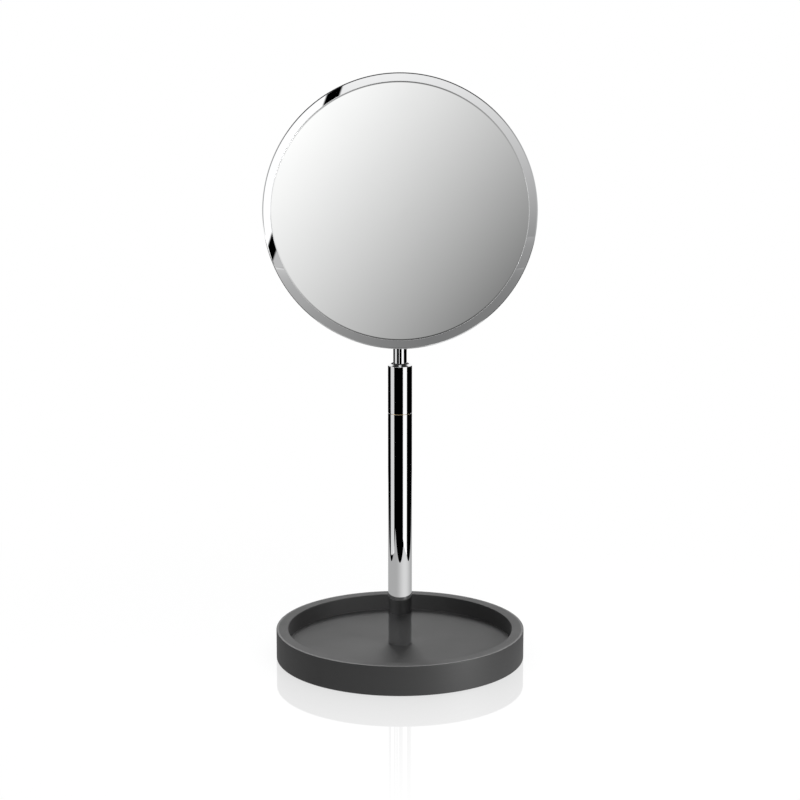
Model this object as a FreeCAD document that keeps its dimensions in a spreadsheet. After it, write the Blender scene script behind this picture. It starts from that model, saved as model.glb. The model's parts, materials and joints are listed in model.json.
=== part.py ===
import FreeCAD, Part
import math
import os
import Sketcher

# A round vanity mirror on a telescopic stem that stands in the middle of a tray-shaped base.
# Millimetres, +Z up. The origin is the centre of the underside, on the surface that the stand
# rests on. The stem is the Z axis and the mirror looks towards -Y.

SIZES = {
    # base: a tray with a steel weight and a non-slip disc let into its underside
    "tray_radius": 80.0,
    "tray_height": 19.5,
    "tray_wall": 7.7,
    "tray_floor_height": 9.0,
    "tray_edge_round": 0.45,
    "tray_corner_round": 0.9,
    "grip_thickness": 1.6,
    "grip_proud": 0.4,
    "weight_radius": 68.0,
    "weight_thickness": 4.4,
    "weight_chamfer": 0.5,
    "recess_clearance": 0.3,
    # base screw, up through the weight and the tray floor into the stem's foot
    "base_screw_radius": 2.5,
    "base_screw_length": 15.0,
    "base_screw_head_radius": 5.0,
    "base_screw_head_height": 2.0,
    "base_socket_radius": 1.5,
    "base_socket_depth": 1.2,
    "base_washer_radius": 6.0,
    "base_washer_thickness": 1.0,
    "washer_pocket_depth": 3.2,
    "washer_pocket_clearance": 0.5,
    "screw_clearance": 0.3,
    "foot_plug_length": 12.0,
    # lower tube
    "tube_radius": 7.63,
    "tube_wall": 1.0,
    "tube_seat_depth": 1.0,
    "tube_top_height": 161.5,
    "tube_edge_chamfer": 0.2,
    # clamp: a threaded connector in the tube, a split collet and the sleeve that squeezes it
    "seam_gap": 0.3,
    "connector_spigot_length": 12.0,
    "connector_thread_radius": 6.2,
    "connector_thread_length": 13.5,
    "collet_radius": 5.9,
    "collet_slot_width": 0.8,
    "collet_slot_margin": 2.6,
    "cone_length": 3.6,
    "sleeve_length": 32.0,
    "sleeve_chamfer_height": 1.4,
    "sleeve_chamfer_width": 2.0,
    "sleeve_cap_thickness": 3.4,
    "wiper_width": 1.0,
    "wiper_height": 1.2,
    # rod
    "rod_radius": 4.25,
    "rod_bore_clearance": 0.35,
    "travel_up": 38.0,
    "travel_spare": 0.6,
    "rod_tip_radius": 3.0,
    "rod_tip_length": 8.0,
    "guide_length": 10.0,
    "guide_journal_radius": 3.0,
    "end_washer_radius": 4.6,
    "end_washer_thickness": 0.8,
    "end_screw_radius": 1.5,
    "end_screw_length": 8.0,
    "end_screw_head_radius": 2.75,
    "end_screw_head_height": 1.65,
    "end_socket_radius": 1.0,
    "end_socket_depth": 1.0,
    # tilt joint: an eye on the rod between the two ears of a bracket on the mirror's back
    "pivot_height": 289.9,
    "head_tilt": 7.2,
    "neck_length": 18.0,
    "neck_radius": 4.8,
    "neck_chamfer": 0.6,
    "eye_radius": 7.0,
    "eye_half_width": 5.0,
    "friction_washer_radius": 6.4,
    "friction_washer_thickness": 0.8,
    "ear_thickness": 3.0,
    "pivot_radius": 2.5,
    "pivot_head_radius": 4.6,
    "pivot_head_height": 2.6,
    "pivot_socket_radius": 1.25,
    "pivot_socket_depth": 1.6,
    "pivot_tip_length": 5.0,
    "spring_washer_radius": 4.4,
    "spring_washer_thickness": 0.5,
    "spring_washer_rise": 0.4,
    "nut_radius": 4.6,
    "nut_hex_height": 3.2,
    "nut_dome_height": 3.2,
    "nut_dome_radius": 4.4,
    "bracket_radius": 17.0,
    "bracket_thickness": 2.5,
    "bracket_chamfer": 0.6,
    "bracket_screw_circle": 12.9,
    "bracket_screw_radius": 1.5,
    "bracket_screw_head_radius": 2.6,
    "bracket_screw_head_height": 1.5,
    "bracket_screw_tip": 0.5,
    "mounting_plate_thickness": 2.0,
    # mirror head, measured along the mirror's own axis from the tilt pivot
    "shell_standoff": 14.0,
    "rim_depth": 3.73,
    "bezel_radius": 84.4,
    "bezel_band_width": 5.55,
    "bezel_bevel_drop": 2.2,
    "bezel_sheet": 0.9,
    "bezel_skirt_depth": 4.6,
    "shell_sheet": 0.9,
    "shell_dome_radius": 480.0,
    "shell_corner_round": 4.0,
    "shell_land_radius": 20.0,
    "glass_lap": 2.55,
    "glass_thickness": 3.0,
    "glass_curve_radius": 1000.0,
    "gasket_thickness": 0.5,
    "gasket_setback": 0.25,
    "backing_width": 13.0,
    # clearances
    "seat_gap": 0.02,
    "running_gap": 0.05,
    "face_gap": 0.05,
}

BRACKET_SCREWS = 4
COLLET_SLOTS = 4

document = FreeCAD.newDocument("VanityMirror")
sheet = document.addObject("Spreadsheet::Sheet", "Sheet")
for row, (name, number) in enumerate(SIZES.items(), start=1):
    sheet.set(f"A{row}", name)
    sheet.set(f"B{row}", str(number))
    sheet.setAlias(f"B{row}", name)
document.recompute()


class Size:
    """A length or angle that carries its number and the sheet formula that gives it."""

    def __init__(self, value, formula):
        self.value = value
        self.formula = formula

    def __add__(self, other):
        other = as_size(other)
        return Size(self.value + other.value, f"({self.formula} + {other.formula})")

    def __sub__(self, other):
        other = as_size(other)
        return Size(self.value - other.value, f"({self.formula} - {other.formula})")

    def __mul__(self, other):
        other = as_size(other)
        return Size(self.value * other.value, f"({self.formula} * {other.formula})")

    def __truediv__(self, other):
        other = as_size(other)
        return Size(self.value / other.value, f"({self.formula} / {other.formula})")

    def __neg__(self):
        return Size(-self.value, f"(0 - {self.formula})")

    def __rsub__(self, other):
        return as_size(other) - self


def as_size(x):
    return x if isinstance(x, Size) else Size(float(x), f"({float(x)})")


def root(x):
    return Size(math.sqrt(x.value), f"sqrt({x.formula})")


def across(radius, height):
    """How far a circle's edge is from its centre line, at a given distance to one side."""
    return root(radius * radius - height * height)


class Sizes:
    """The sheet's cells as attributes."""

    def __init__(self, numbers):
        for name, number in numbers.items():
            setattr(self, name, Size(number, f"Sheet.{name}"))


S = Sizes(SIZES)
AXIS = as_size(0)

# ---------------------------------------------------------------- derived places

# Heights above the surface that the stand rests on.
weight_top = S.grip_thickness + S.weight_thickness
tube_bottom = S.tray_floor_height - S.tube_seat_depth
washer_top = S.grip_thickness + S.washer_pocket_depth
base_head_top = washer_top - S.base_washer_thickness
plug_top = tube_bottom + S.foot_plug_length
tube_inner = S.tube_radius - S.tube_wall
sleeve_bottom = S.tube_top_height + S.seam_gap
sleeve_top = sleeve_bottom + S.sleeve_length
sleeve_bore_top = sleeve_top - S.sleeve_cap_thickness
connector_bottom = S.tube_top_height - S.connector_spigot_length
connector_top = S.tube_top_height + S.connector_thread_length
rod_bore = S.rod_radius + S.rod_bore_clearance
guide_top = connector_bottom - S.travel_spare - S.travel_up
guide_bottom = guide_top - S.guide_length
neck_bottom = S.pivot_height - S.neck_length

# Places along the hinge pin, from the middle of the eye outwards.
washer_inner_face = S.eye_half_width + S.face_gap
washer_outer_face = washer_inner_face + S.friction_washer_thickness
ear_inner_face = washer_outer_face + S.seat_gap
ear_outer_face = ear_inner_face + S.ear_thickness

# Places along the mirror's own axis, from the hinge pin towards the glass.
bracket_back = S.shell_standoff - S.seat_gap - S.bracket_thickness
plate_back = S.shell_standoff + S.shell_sheet + S.seat_gap
plate_front = plate_back + S.mounting_plate_thickness
shell_radius = S.bezel_radius - S.bezel_sheet - S.seat_gap
dome_centre = S.shell_standoff + across(S.shell_dome_radius, S.shell_land_radius)
corner_radius_at = shell_radius - S.shell_corner_round
corner_centre = dome_centre - across(S.shell_dome_radius - S.shell_corner_round, corner_radius_at)
head_front = corner_centre + S.rim_depth
opening_radius = S.bezel_radius - S.bezel_band_width
glass_radius = opening_radius + S.glass_lap
bevel_slope = S.bezel_bevel_drop / S.bezel_band_width


def bezel_underside(radius):
    """Where the underside of the bezel's bevelled band is, at a given radius."""
    return head_front - S.bezel_sheet - bevel_slope * (radius - opening_radius)


shell_front = bezel_underside(shell_radius) - S.seat_gap
glass_edge_front = bezel_underside(glass_radius) - S.gasket_thickness
glass_curve_centre = glass_edge_front + across(S.glass_curve_radius, glass_radius)


def glass_front(radius):
    """Where the hollow front of the glass is, at a given radius."""
    return glass_curve_centre - across(S.glass_curve_radius, radius)


def glass_back(radius):
    """Where the back of the glass is, at a given radius."""
    return glass_curve_centre - across(S.glass_curve_radius + S.glass_thickness, radius)


# ---------------------------------------------------------------- making features

pieces = []


class Bend:
    """An edge that leaves its corner as an arc, turning left or right."""

    def __init__(self, radius, turn):
        self.radius = radius
        self.turn = turn


LEFT = 1
RIGHT = -1


def bind(thing, prop, size):
    """Ties a property of an object to the sheet."""
    thing.setExpression(prop, as_size(size).formula)


def new_body(label, head=False):
    """Starts a piece. A piece of the head is drawn about the hinge pin and the mirror's axis."""
    body = document.addObject("PartDesign::Body", label)
    body.Label = label
    if head:
        put_on_head(body)
    pieces.append(body)
    return body


def put_on_head(thing):
    """Places a piece drawn with its Z axis along the mirror's axis and its origin in the pivot."""
    thing.Placement = FreeCAD.Placement(
        FreeCAD.Vector(0, 0, S.pivot_height.value),
        FreeCAD.Rotation(FreeCAD.Vector(1, 0, 0), 90 - S.head_tilt.value),
    )
    bind(thing, ".Placement.Base.z", S.pivot_height)
    bind(thing, ".Placement.Rotation.Angle", 90 - S.head_tilt)


def sketch_on(body, role, offset=None):
    """An empty sketch on one of the body's own planes, moved along that plane's normal."""
    sketch = body.newObject("Sketcher::SketchObject", f"{body.Label}_sketch")
    plane = next(f for f in body.Origin.OriginFeatures if f.Role == role)
    sketch.AttachmentSupport = [(plane, "")]
    sketch.MapMode = "FlatFace"
    if offset is not None:
        bind(sketch, ".AttachmentOffset.Base.z", offset)
    return sketch


def hold(sketch, kind, *ends, size):
    """Adds one dimension to a sketch and ties it to the sheet."""
    number = sketch.addConstraint(Sketcher.Constraint(kind, *ends, size.value))
    name = f"{kind}_{number}"
    sketch.renameConstraint(number, name)
    bind(sketch, f"Constraints.{name}", size)


def arc_between(start, end, radius, turn):
    """The short arc from start to end, and which of its ends the outline enters by."""
    chord = end - start
    middle = (start + end) * 0.5
    left = FreeCAD.Vector(-chord.y, chord.x, 0).normalize()
    rise = math.sqrt(max(radius * radius - chord.Length * chord.Length / 4, 0.0))
    centre = middle + left * (rise * turn)
    angles = [math.atan2(p.y - centre.y, p.x - centre.x) for p in (start, end)]
    if turn == RIGHT:
        angles.reverse()
    circle = Part.Circle(centre, FreeCAD.Vector(0, 0, 1), radius)
    return Part.ArcOfCircle(circle, *angles), (1, 2) if turn == LEFT else (2, 1)


def outline(sketch, corners):
    """Draws a closed outline. A corner is x, y and, where an arc leaves it, a Bend."""
    corners = [(as_size(c[0]), as_size(c[1]), *c[2:]) for c in corners]
    spots = [FreeCAD.Vector(c[0].value, c[1].value, 0) for c in corners]
    edges = []
    for n, corner in enumerate(corners):
        start, end = spots[n], spots[(n + 1) % len(spots)]
        if len(corner) == 3:
            bend = corner[2]
            shape, ends = arc_between(start, end, bend.radius.value, bend.turn)
        else:
            shape, ends = Part.LineSegment(start, end), (1, 2)
        edges.append((sketch.addGeometry(shape, False), *ends))
    for n, corner in enumerate(corners):
        edge, entry, _ = edges[n]
        before, _, leaving = edges[n - 1]
        sketch.addConstraint(Sketcher.Constraint("Coincident", before, leaving, edge, entry))
        hold(sketch, "DistanceX", -1, 1, edge, entry, size=corner[0])
        hold(sketch, "DistanceY", -1, 1, edge, entry, size=corner[1])
        if len(corner) == 3:
            hold(sketch, "Radius", edge, size=corner[2].radius)


def circle(sketch, x, y, radius):
    """Draws one circle."""
    x, y = as_size(x), as_size(y)
    centre = FreeCAD.Vector(x.value, y.value, 0)
    edge = sketch.addGeometry(Part.Circle(centre, FreeCAD.Vector(0, 0, 1), radius.value), False)
    hold(sketch, "DistanceX", -1, 1, edge, 3, size=x)
    hold(sketch, "DistanceY", -1, 1, edge, 3, size=y)
    hold(sketch, "Radius", edge, size=radius)


def hexagon(sketch, inner_radius):
    """Draws a hexagon by the radius of the circle that fits inside it."""
    half_side = inner_radius * math.tan(math.radians(30))
    outer_radius = half_side * 2
    outline(sketch, [
        (outer_radius, 0),
        (half_side, inner_radius),
        (-half_side, inner_radius),
        (-outer_radius, 0),
        (-half_side, -inner_radius),
        (half_side, -inner_radius),
    ])


def add_revolution(body, role, axis, corners):
    """Turns an outline about one of its sketch's axes."""
    sketch = sketch_on(body, role)
    outline(sketch, corners)
    feature = body.newObject("PartDesign::Revolution", f"{body.Label}_turned")
    feature.Profile = sketch
    feature.ReferenceAxis = (sketch, [axis])
    feature.Angle = 360
    sketch.Visibility = False
    document.recompute()
    return feature


def turned(label, corners, head=False):
    """A piece turned about Z from an outline of radius and height."""
    body = new_body(label, head)
    add_revolution(body, "XZ_Plane", "V_Axis", corners)
    return body


def add_pad(body, sketch, length, midplane=False, reverse=False):
    """Raises a sketch into a solid."""
    feature = body.newObject("PartDesign::Pad", f"{body.Label}_pad")
    feature.Profile = sketch
    feature.SideType = "Symmetric" if midplane else "One side"
    feature.Reversed = reverse
    bind(feature, "Length", length)
    document.recompute()
    return feature


def add_pocket(body, sketch, length=None, midplane=False, reverse=False):
    """Cuts a sketch out of the body, right through where no length is given."""
    before = body.Shape.Volume
    feature = body.newObject("PartDesign::Pocket", f"{body.Label}_pocket")
    feature.Profile = sketch
    feature.SideType = "Symmetric" if midplane else "One side"
    feature.Reversed = reverse
    if length is None:
        feature.Type = "ThroughAll"
    else:
        bind(feature, "Length", length)
    document.recompute()
    if body.Shape.Volume >= before:
        raise RuntimeError(f"{feature.Name} cut nothing")
    return feature


def repeat_around(body, feature, count):
    """Repeats a feature around Z."""
    pattern = body.newObject("PartDesign::PolarPattern", f"{body.Label}_pattern")
    pattern.Originals = [feature]
    axis = next(f for f in body.Origin.OriginFeatures if f.Role == "Z_Axis")
    pattern.Axis = (axis, [""])
    pattern.Angle = 360
    pattern.Occurrences = count
    body.Tip = pattern
    document.recompute()


def rim_edges(body, rims):
    """Names of the circular edges of a body's shape that have these radii and heights."""
    names = []
    frame = body.Placement.inverse()
    for number, edge in enumerate(body.Shape.Edges, start=1):
        if not isinstance(edge.Curve, Part.Circle):
            continue
        centre = frame.multVec(edge.Curve.Center)
        for radius, height in rims:
            if abs(edge.Curve.Radius - radius.value) < 1e-4 and abs(centre.z - height.value) < 1e-4:
                names.append(f"Edge{number}")
    if len(names) < len(rims):
        raise RuntimeError(f"{body.Label}: {len(names)} of {len(rims)} rims found")
    return names


def dress(body, kind, size, rims):
    """Rounds (Fillet, Radius) or chamfers (Chamfer, Size) the named rims of a turned piece."""
    base, edges = body.Tip, rim_edges(body, rims)
    feature = body.newObject(f"PartDesign::{kind}", f"{body.Label}_{kind.lower()}")
    feature.Base = (base, edges)
    bind(feature, "Radius" if kind == "Fillet" else "Size", size)
    document.recompute()


def washer(label, outer, inner, bottom, thickness, head=False):
    """A flat ring, as one disc cut out of another."""
    discs = []
    for part, radius in (("outer", outer), ("inner", inner)):
        disc = document.addObject("Part::Cylinder", f"{label}_{part}")
        bind(disc, "Radius", radius)
        bind(disc, "Height", thickness)
        bind(disc, ".Placement.Base.z", bottom)
        discs.append(disc)
    ring = document.addObject("Part::Cut", label)
    ring.Base, ring.Tool = discs
    ring.Label = label
    if head:
        put_on_head(ring)
    document.recompute()
    return ring


# ---------------------------------------------------------------- base

screw_hole = S.base_screw_radius + S.screw_clearance


def make_base_tray():
    """The round tray that is the stand's foot, recessed below for the weight and the non-slip disc."""
    recess = S.weight_radius + S.recess_clearance
    inside = S.tray_radius - S.tray_wall
    seat = S.tube_radius + S.running_gap
    body = turned("base_tray", [
        (screw_hole, weight_top),
        (recess, weight_top),
        (recess, S.grip_proud),
        (S.tray_radius, S.grip_proud),
        (S.tray_radius, S.tray_height),
        (inside, S.tray_height),
        (inside, S.tray_floor_height),
        (seat, S.tray_floor_height),
        (seat, tube_bottom),
        (screw_hole, tube_bottom),
    ])
    dress(body, "Fillet", S.tray_edge_round, [
        (S.tray_radius, S.grip_proud),
        (S.tray_radius, S.tray_height),
        (inside, S.tray_height),
    ])
    dress(body, "Fillet", S.tray_corner_round, [(inside, S.tray_floor_height)])


def make_base_weight():
    """The steel disc that keeps the stand from tipping, counterbored for the screw's head."""
    pocket = S.base_washer_radius + S.washer_pocket_clearance
    body = turned("base_weight", [
        (pocket, S.grip_thickness),
        (S.weight_radius, S.grip_thickness),
        (S.weight_radius, weight_top),
        (screw_hole, weight_top),
        (screw_hole, washer_top),
        (pocket, washer_top),
    ])
    dress(body, "Chamfer", S.weight_chamfer, [
        (S.weight_radius, S.grip_thickness),
        (S.weight_radius, weight_top),
    ])


def make_non_slip_disc():
    """The non-slip disc that the stand rests on."""
    disc = document.addObject("Part::Cylinder", "non_slip_disc")
    disc.Label = "non_slip_disc"
    bind(disc, "Radius", S.weight_radius)
    bind(disc, "Height", S.grip_thickness)
    pieces.append(disc)


def make_base_screw():
    """A low-headed screw with a hexagon socket, up into the plug in the stem's foot."""
    head_bottom = base_head_top - S.base_screw_head_height
    body = turned("base_screw", [
        (0, head_bottom),
        (S.base_screw_head_radius, head_bottom),
        (S.base_screw_head_radius, base_head_top),
        (S.base_screw_radius, base_head_top),
        (S.base_screw_radius, base_head_top + S.base_screw_length),
        (0, base_head_top + S.base_screw_length),
    ])
    socket = sketch_on(body, "XY_Plane", head_bottom)
    hexagon(socket, S.base_socket_radius)
    add_pocket(body, socket, S.base_socket_depth, reverse=True)


def make_base_washer():
    """The washer under the base screw's head."""
    bottom = base_head_top
    ring = washer("base_washer", S.base_washer_radius, screw_hole, bottom, S.base_washer_thickness)
    pieces.append(ring)


def make_foot_plug():
    """The threaded plug pressed into the foot of the lower tube."""
    outer = tube_inner - S.seat_gap
    bore = S.base_screw_radius + S.seat_gap
    body = turned("foot_plug", [
        (bore, tube_bottom),
        (outer, tube_bottom),
        (outer, plug_top),
        (bore, plug_top),
    ])
    dress(body, "Chamfer", S.tube_edge_chamfer, [(outer, plug_top)])


# ---------------------------------------------------------------- stem

cone_foot = connector_top - S.cone_length
collet_top = sleeve_bore_top - S.seat_gap
cone_head = collet_top - S.cone_length


def make_lower_tube():
    """The wide chrome tube that stands in the tray."""
    body = turned("lower_tube", [
        (tube_inner, tube_bottom),
        (S.tube_radius, tube_bottom),
        (S.tube_radius, S.tube_top_height),
        (tube_inner, S.tube_top_height),
    ])
    dress(body, "Chamfer", S.tube_edge_chamfer, [(S.tube_radius, S.tube_top_height)])


def make_tube_connector():
    """The nipple in the tube's top. Its threaded end stands in the sleeve and holds the collet."""
    spigot = tube_inner - S.seat_gap
    turned("tube_connector", [
        (rod_bore, connector_bottom),
        (spigot, connector_bottom),
        (spigot, S.tube_top_height),
        (S.connector_thread_radius, S.tube_top_height),
        (S.connector_thread_radius, connector_top),
        (S.collet_radius, connector_top),
        (rod_bore, cone_foot),
    ])


def make_clamp_collet():
    """The split nylon collet between the connector's cone and the sleeve's cone."""
    bore = S.rod_radius + S.running_gap
    gap = S.running_gap
    body = turned("clamp_collet", [
        (bore, cone_foot + gap),
        (rod_bore, cone_foot + gap),
        (S.collet_radius - gap, connector_top),
        (S.collet_radius - gap, cone_head),
        (rod_bore, collet_top - gap),
        (bore, collet_top - gap),
    ])
    slot = sketch_on(body, "XY_Plane", cone_foot + S.collet_slot_margin)
    half = S.collet_slot_width / 2
    outline(slot, [(0, -half), (S.collet_radius, -half), (S.collet_radius, half), (0, half)])
    cut = add_pocket(body, slot, reverse=True)
    repeat_around(body, cut, COLLET_SLOTS)


def make_clamp_sleeve():
    """The chrome sleeve that screws down over the connector and closes the collet on the rod."""
    bore = S.connector_thread_radius + S.running_gap
    wiper_top = sleeve_top - (S.sleeve_cap_thickness - S.wiper_height) / 2
    wiper_bottom = wiper_top - S.wiper_height
    throat = rod_bore
    groove = throat + S.wiper_width
    turned("clamp_sleeve", [
        (S.tube_radius, sleeve_bottom),
        (S.tube_radius, sleeve_top - S.sleeve_chamfer_height),
        (S.tube_radius - S.sleeve_chamfer_width, sleeve_top),
        (throat, sleeve_top),
        (throat, wiper_top),
        (groove, wiper_top),
        (groove, wiper_bottom),
        (throat, wiper_bottom),
        (throat, sleeve_bore_top),
        (S.collet_radius, cone_head),
        (bore, cone_head),
        (bore, sleeve_bottom),
    ])


def make_wiper_ring():
    """The soft ring in the sleeve's mouth that wipes the rod and stops rattle."""
    top = sleeve_top - (S.sleeve_cap_thickness - S.wiper_height) / 2 - S.seat_gap
    bottom = top - S.wiper_height + S.seat_gap * 2
    inner = S.rod_radius + S.running_gap
    ring = washer(
        "wiper_ring", rod_bore + S.wiper_width - S.seat_gap, inner, bottom, top - bottom
    )
    pieces.append(ring)


def make_rod():
    """The slim chrome rod, threaded into the hinge eye above and stepped for its guide below."""
    journal_end = guide_bottom - S.running_gap
    tip_top = neck_bottom + S.rod_tip_length
    screw_bore = S.end_screw_radius + S.seat_gap
    bore_top = journal_end + S.end_screw_length + S.seat_gap
    turned("rod", [
        (screw_bore, journal_end),
        (S.guide_journal_radius, journal_end),
        (S.guide_journal_radius, guide_top + S.running_gap),
        (S.rod_radius, guide_top + S.running_gap),
        (S.rod_radius, neck_bottom - S.seat_gap),
        (S.rod_tip_radius, neck_bottom - S.seat_gap),
        (S.rod_tip_radius, tip_top),
        (0, tip_top),
        (0, bore_top),
        (screw_bore, bore_top),
    ])


def make_rod_guide():
    """The nylon piston on the rod's foot. It slides in the tube and the rod turns in it."""
    outer = tube_inner - S.running_gap
    bore = S.guide_journal_radius + S.running_gap
    body = turned("rod_guide", [
        (bore, guide_bottom),
        (outer, guide_bottom),
        (outer, guide_top),
        (bore, guide_top),
    ])
    dress(body, "Chamfer", S.neck_chamfer, [(outer, guide_bottom), (outer, guide_top)])


end_washer_top = guide_bottom - S.running_gap - S.seat_gap
end_washer_bottom = end_washer_top - S.end_washer_thickness


def make_rod_end_washer():
    """The washer that keeps the guide on the rod's foot."""
    hole = S.end_screw_radius + S.running_gap
    ring = washer(
        "rod_end_washer", S.end_washer_radius, hole, end_washer_bottom, S.end_washer_thickness
    )
    pieces.append(ring)


def make_rod_end_screw():
    """The screw that holds the washer to the rod's foot."""
    head_top = end_washer_bottom - S.seat_gap
    head_bottom = head_top - S.end_screw_head_height
    body = turned("rod_end_screw", [
        (0, head_bottom),
        (S.end_screw_head_radius, head_bottom),
        (S.end_screw_head_radius, head_top),
        (S.end_screw_radius, head_top),
        (S.end_screw_radius, head_top + S.end_screw_length),
        (0, head_top + S.end_screw_length),
    ])
    socket = sketch_on(body, "XY_Plane", head_bottom)
    hexagon(socket, S.end_socket_radius)
    add_pocket(body, socket, S.end_socket_depth, reverse=True)


# ---------------------------------------------------------------- tilt joint

pin_hole = S.pivot_radius + S.running_gap


def make_rod_knuckle():
    """The eye on top of the rod, with its neck screwed onto the rod's threaded tip."""
    tip_bore = S.rod_tip_radius + S.seat_gap
    bore_depth = S.rod_tip_length + S.seat_gap
    body = new_body("rod_knuckle")
    body.Placement.Base.z = S.pivot_height.value
    bind(body, ".Placement.Base.z", S.pivot_height)
    add_revolution(body, "XZ_Plane", "V_Axis", [
        (tip_bore, -S.neck_length),
        (S.neck_radius, -S.neck_length),
        (S.neck_radius, 0),
        (0, 0),
        (0, bore_depth - S.neck_length),
        (tip_bore, bore_depth - S.neck_length),
    ])
    dress(body, "Chamfer", S.neck_chamfer, [(S.neck_radius, -S.neck_length)])
    eye = sketch_on(body, "YZ_Plane")
    circle(eye, 0, 0, S.eye_radius)
    add_pad(body, eye, S.eye_half_width * 2, midplane=True)
    hole = sketch_on(body, "YZ_Plane")
    circle(hole, 0, 0, pin_hole)
    add_pocket(body, hole, midplane=True)


def make_friction_washers():
    """Two nylon washers, one on each side of the eye, that give the tilt its drag."""
    rings = []
    for side, bottom in (("right", washer_inner_face), ("left", -washer_outer_face)):
        ring = washer(
            f"friction_washer_{side}", S.friction_washer_radius, pin_hole, bottom,
            S.friction_washer_thickness,
        )
        rings.append(ring)
    pair = document.addObject("Part::Compound", "friction_washers")
    pair.Label = "friction_washers"
    pair.Links = rings
    pair.Placement = FreeCAD.Placement(
        FreeCAD.Vector(0, 0, S.pivot_height.value),
        FreeCAD.Rotation(FreeCAD.Vector(0, 1, 0), 90),
    )
    bind(pair, ".Placement.Base.z", S.pivot_height)
    pieces.append(pair)


def make_hinge_bracket():
    """The forked bracket on the mirror's back: a disc with two ears that hold the hinge pin."""
    body = turned("hinge_bracket", [
        (0, bracket_back),
        (S.bracket_radius, bracket_back),
        (S.bracket_radius, bracket_back + S.bracket_thickness),
        (0, bracket_back + S.bracket_thickness),
    ], head=True)
    dress(body, "Chamfer", S.bracket_chamfer, [(S.bracket_radius, bracket_back)])
    ears = sketch_on(body, "YZ_Plane")
    root_height = bracket_back + S.bracket_thickness / 2
    outline(ears, [
        (-S.eye_radius, root_height),
        (-S.eye_radius, 0, Bend(S.eye_radius, LEFT)),
        (0, -S.eye_radius, Bend(S.eye_radius, LEFT)),
        (S.eye_radius, 0),
        (S.eye_radius, root_height),
    ])
    add_pad(body, ears, ear_outer_face * 2, midplane=True)
    fork = sketch_on(body, "YZ_Plane")
    reach = S.eye_radius + S.bracket_chamfer
    outline(fork, [
        (-reach, bracket_back),
        (-reach, -reach),
        (reach, -reach),
        (reach, bracket_back),
    ])
    add_pocket(body, fork, ear_inner_face * 2, midplane=True)
    pin = sketch_on(body, "YZ_Plane")
    circle(pin, 0, 0, S.pivot_radius + S.seat_gap)
    add_pocket(body, pin, midplane=True)
    hole = sketch_on(body, "XY_Plane", bracket_back)
    circle(hole, S.bracket_screw_circle, 0, S.bracket_screw_radius + S.seat_gap)
    cut = add_pocket(body, hole, S.bracket_thickness, reverse=True)
    repeat_around(body, cut, BRACKET_SCREWS)


def make_pivot_screw():
    """The shoulder screw that is the hinge pin, with its domed head on the right."""
    face = ear_outer_face + S.seat_gap
    tip = ear_outer_face + S.spring_washer_thickness + S.spring_washer_rise + S.pivot_tip_length
    body = new_body("pivot_screw", head=True)
    dome = S.pivot_head_height / 2
    dome_radius = (S.pivot_head_radius * S.pivot_head_radius + dome * dome) / (dome * 2)
    add_revolution(body, "XY_Plane", "H_Axis", [
        (-tip, 0),
        (face + S.pivot_head_height, 0, Bend(dome_radius, LEFT)),
        (face + dome, S.pivot_head_radius),
        (face, S.pivot_head_radius),
        (face, S.pivot_radius),
        (-tip, S.pivot_radius),
    ])
    socket = sketch_on(body, "YZ_Plane", face + S.pivot_head_height)
    hexagon(socket, S.pivot_socket_radius)
    add_pocket(body, socket, S.pivot_socket_depth)


def make_spring_washer():
    """The cone spring that keeps the friction washers squeezed."""
    inner = S.pivot_radius + S.running_gap
    foot = -(ear_outer_face + S.seat_gap)
    body = new_body("spring_washer", head=True)
    add_revolution(body, "XY_Plane", "H_Axis", [
        (foot, S.spring_washer_radius),
        (foot - S.spring_washer_thickness, S.spring_washer_radius),
        (foot - S.spring_washer_thickness - S.spring_washer_rise, inner),
        (foot - S.spring_washer_rise, inner),
    ])


def make_pivot_nut():
    """The domed cap nut on the hinge pin's left end."""
    seat = S.spring_washer_thickness + S.spring_washer_rise + S.seat_gap * 2
    face = -(ear_outer_face + seat)
    hex_end = face - S.nut_hex_height
    bore = S.pivot_radius + S.seat_gap
    bore_end = face - S.pivot_tip_length - S.seat_gap
    body = new_body("pivot_nut", head=True)
    hex_sketch = sketch_on(body, "YZ_Plane", hex_end)
    hexagon(hex_sketch, S.nut_radius)
    add_pad(body, hex_sketch, S.nut_hex_height)
    rise = S.nut_dome_height
    dome_radius = (S.nut_dome_radius * S.nut_dome_radius + rise * rise) / (rise * 2)
    add_revolution(body, "XY_Plane", "H_Axis", [
        (face - S.nut_hex_height / 2, 0),
        (face - S.nut_hex_height / 2, S.nut_dome_radius),
        (hex_end, S.nut_dome_radius, Bend(dome_radius, LEFT)),
        (hex_end - rise, 0),
    ])
    bore_sketch = sketch_on(body, "YZ_Plane", face)
    circle(bore_sketch, 0, 0, bore)
    add_pocket(body, bore_sketch, face - bore_end)


# ---------------------------------------------------------------- mirror head


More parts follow.
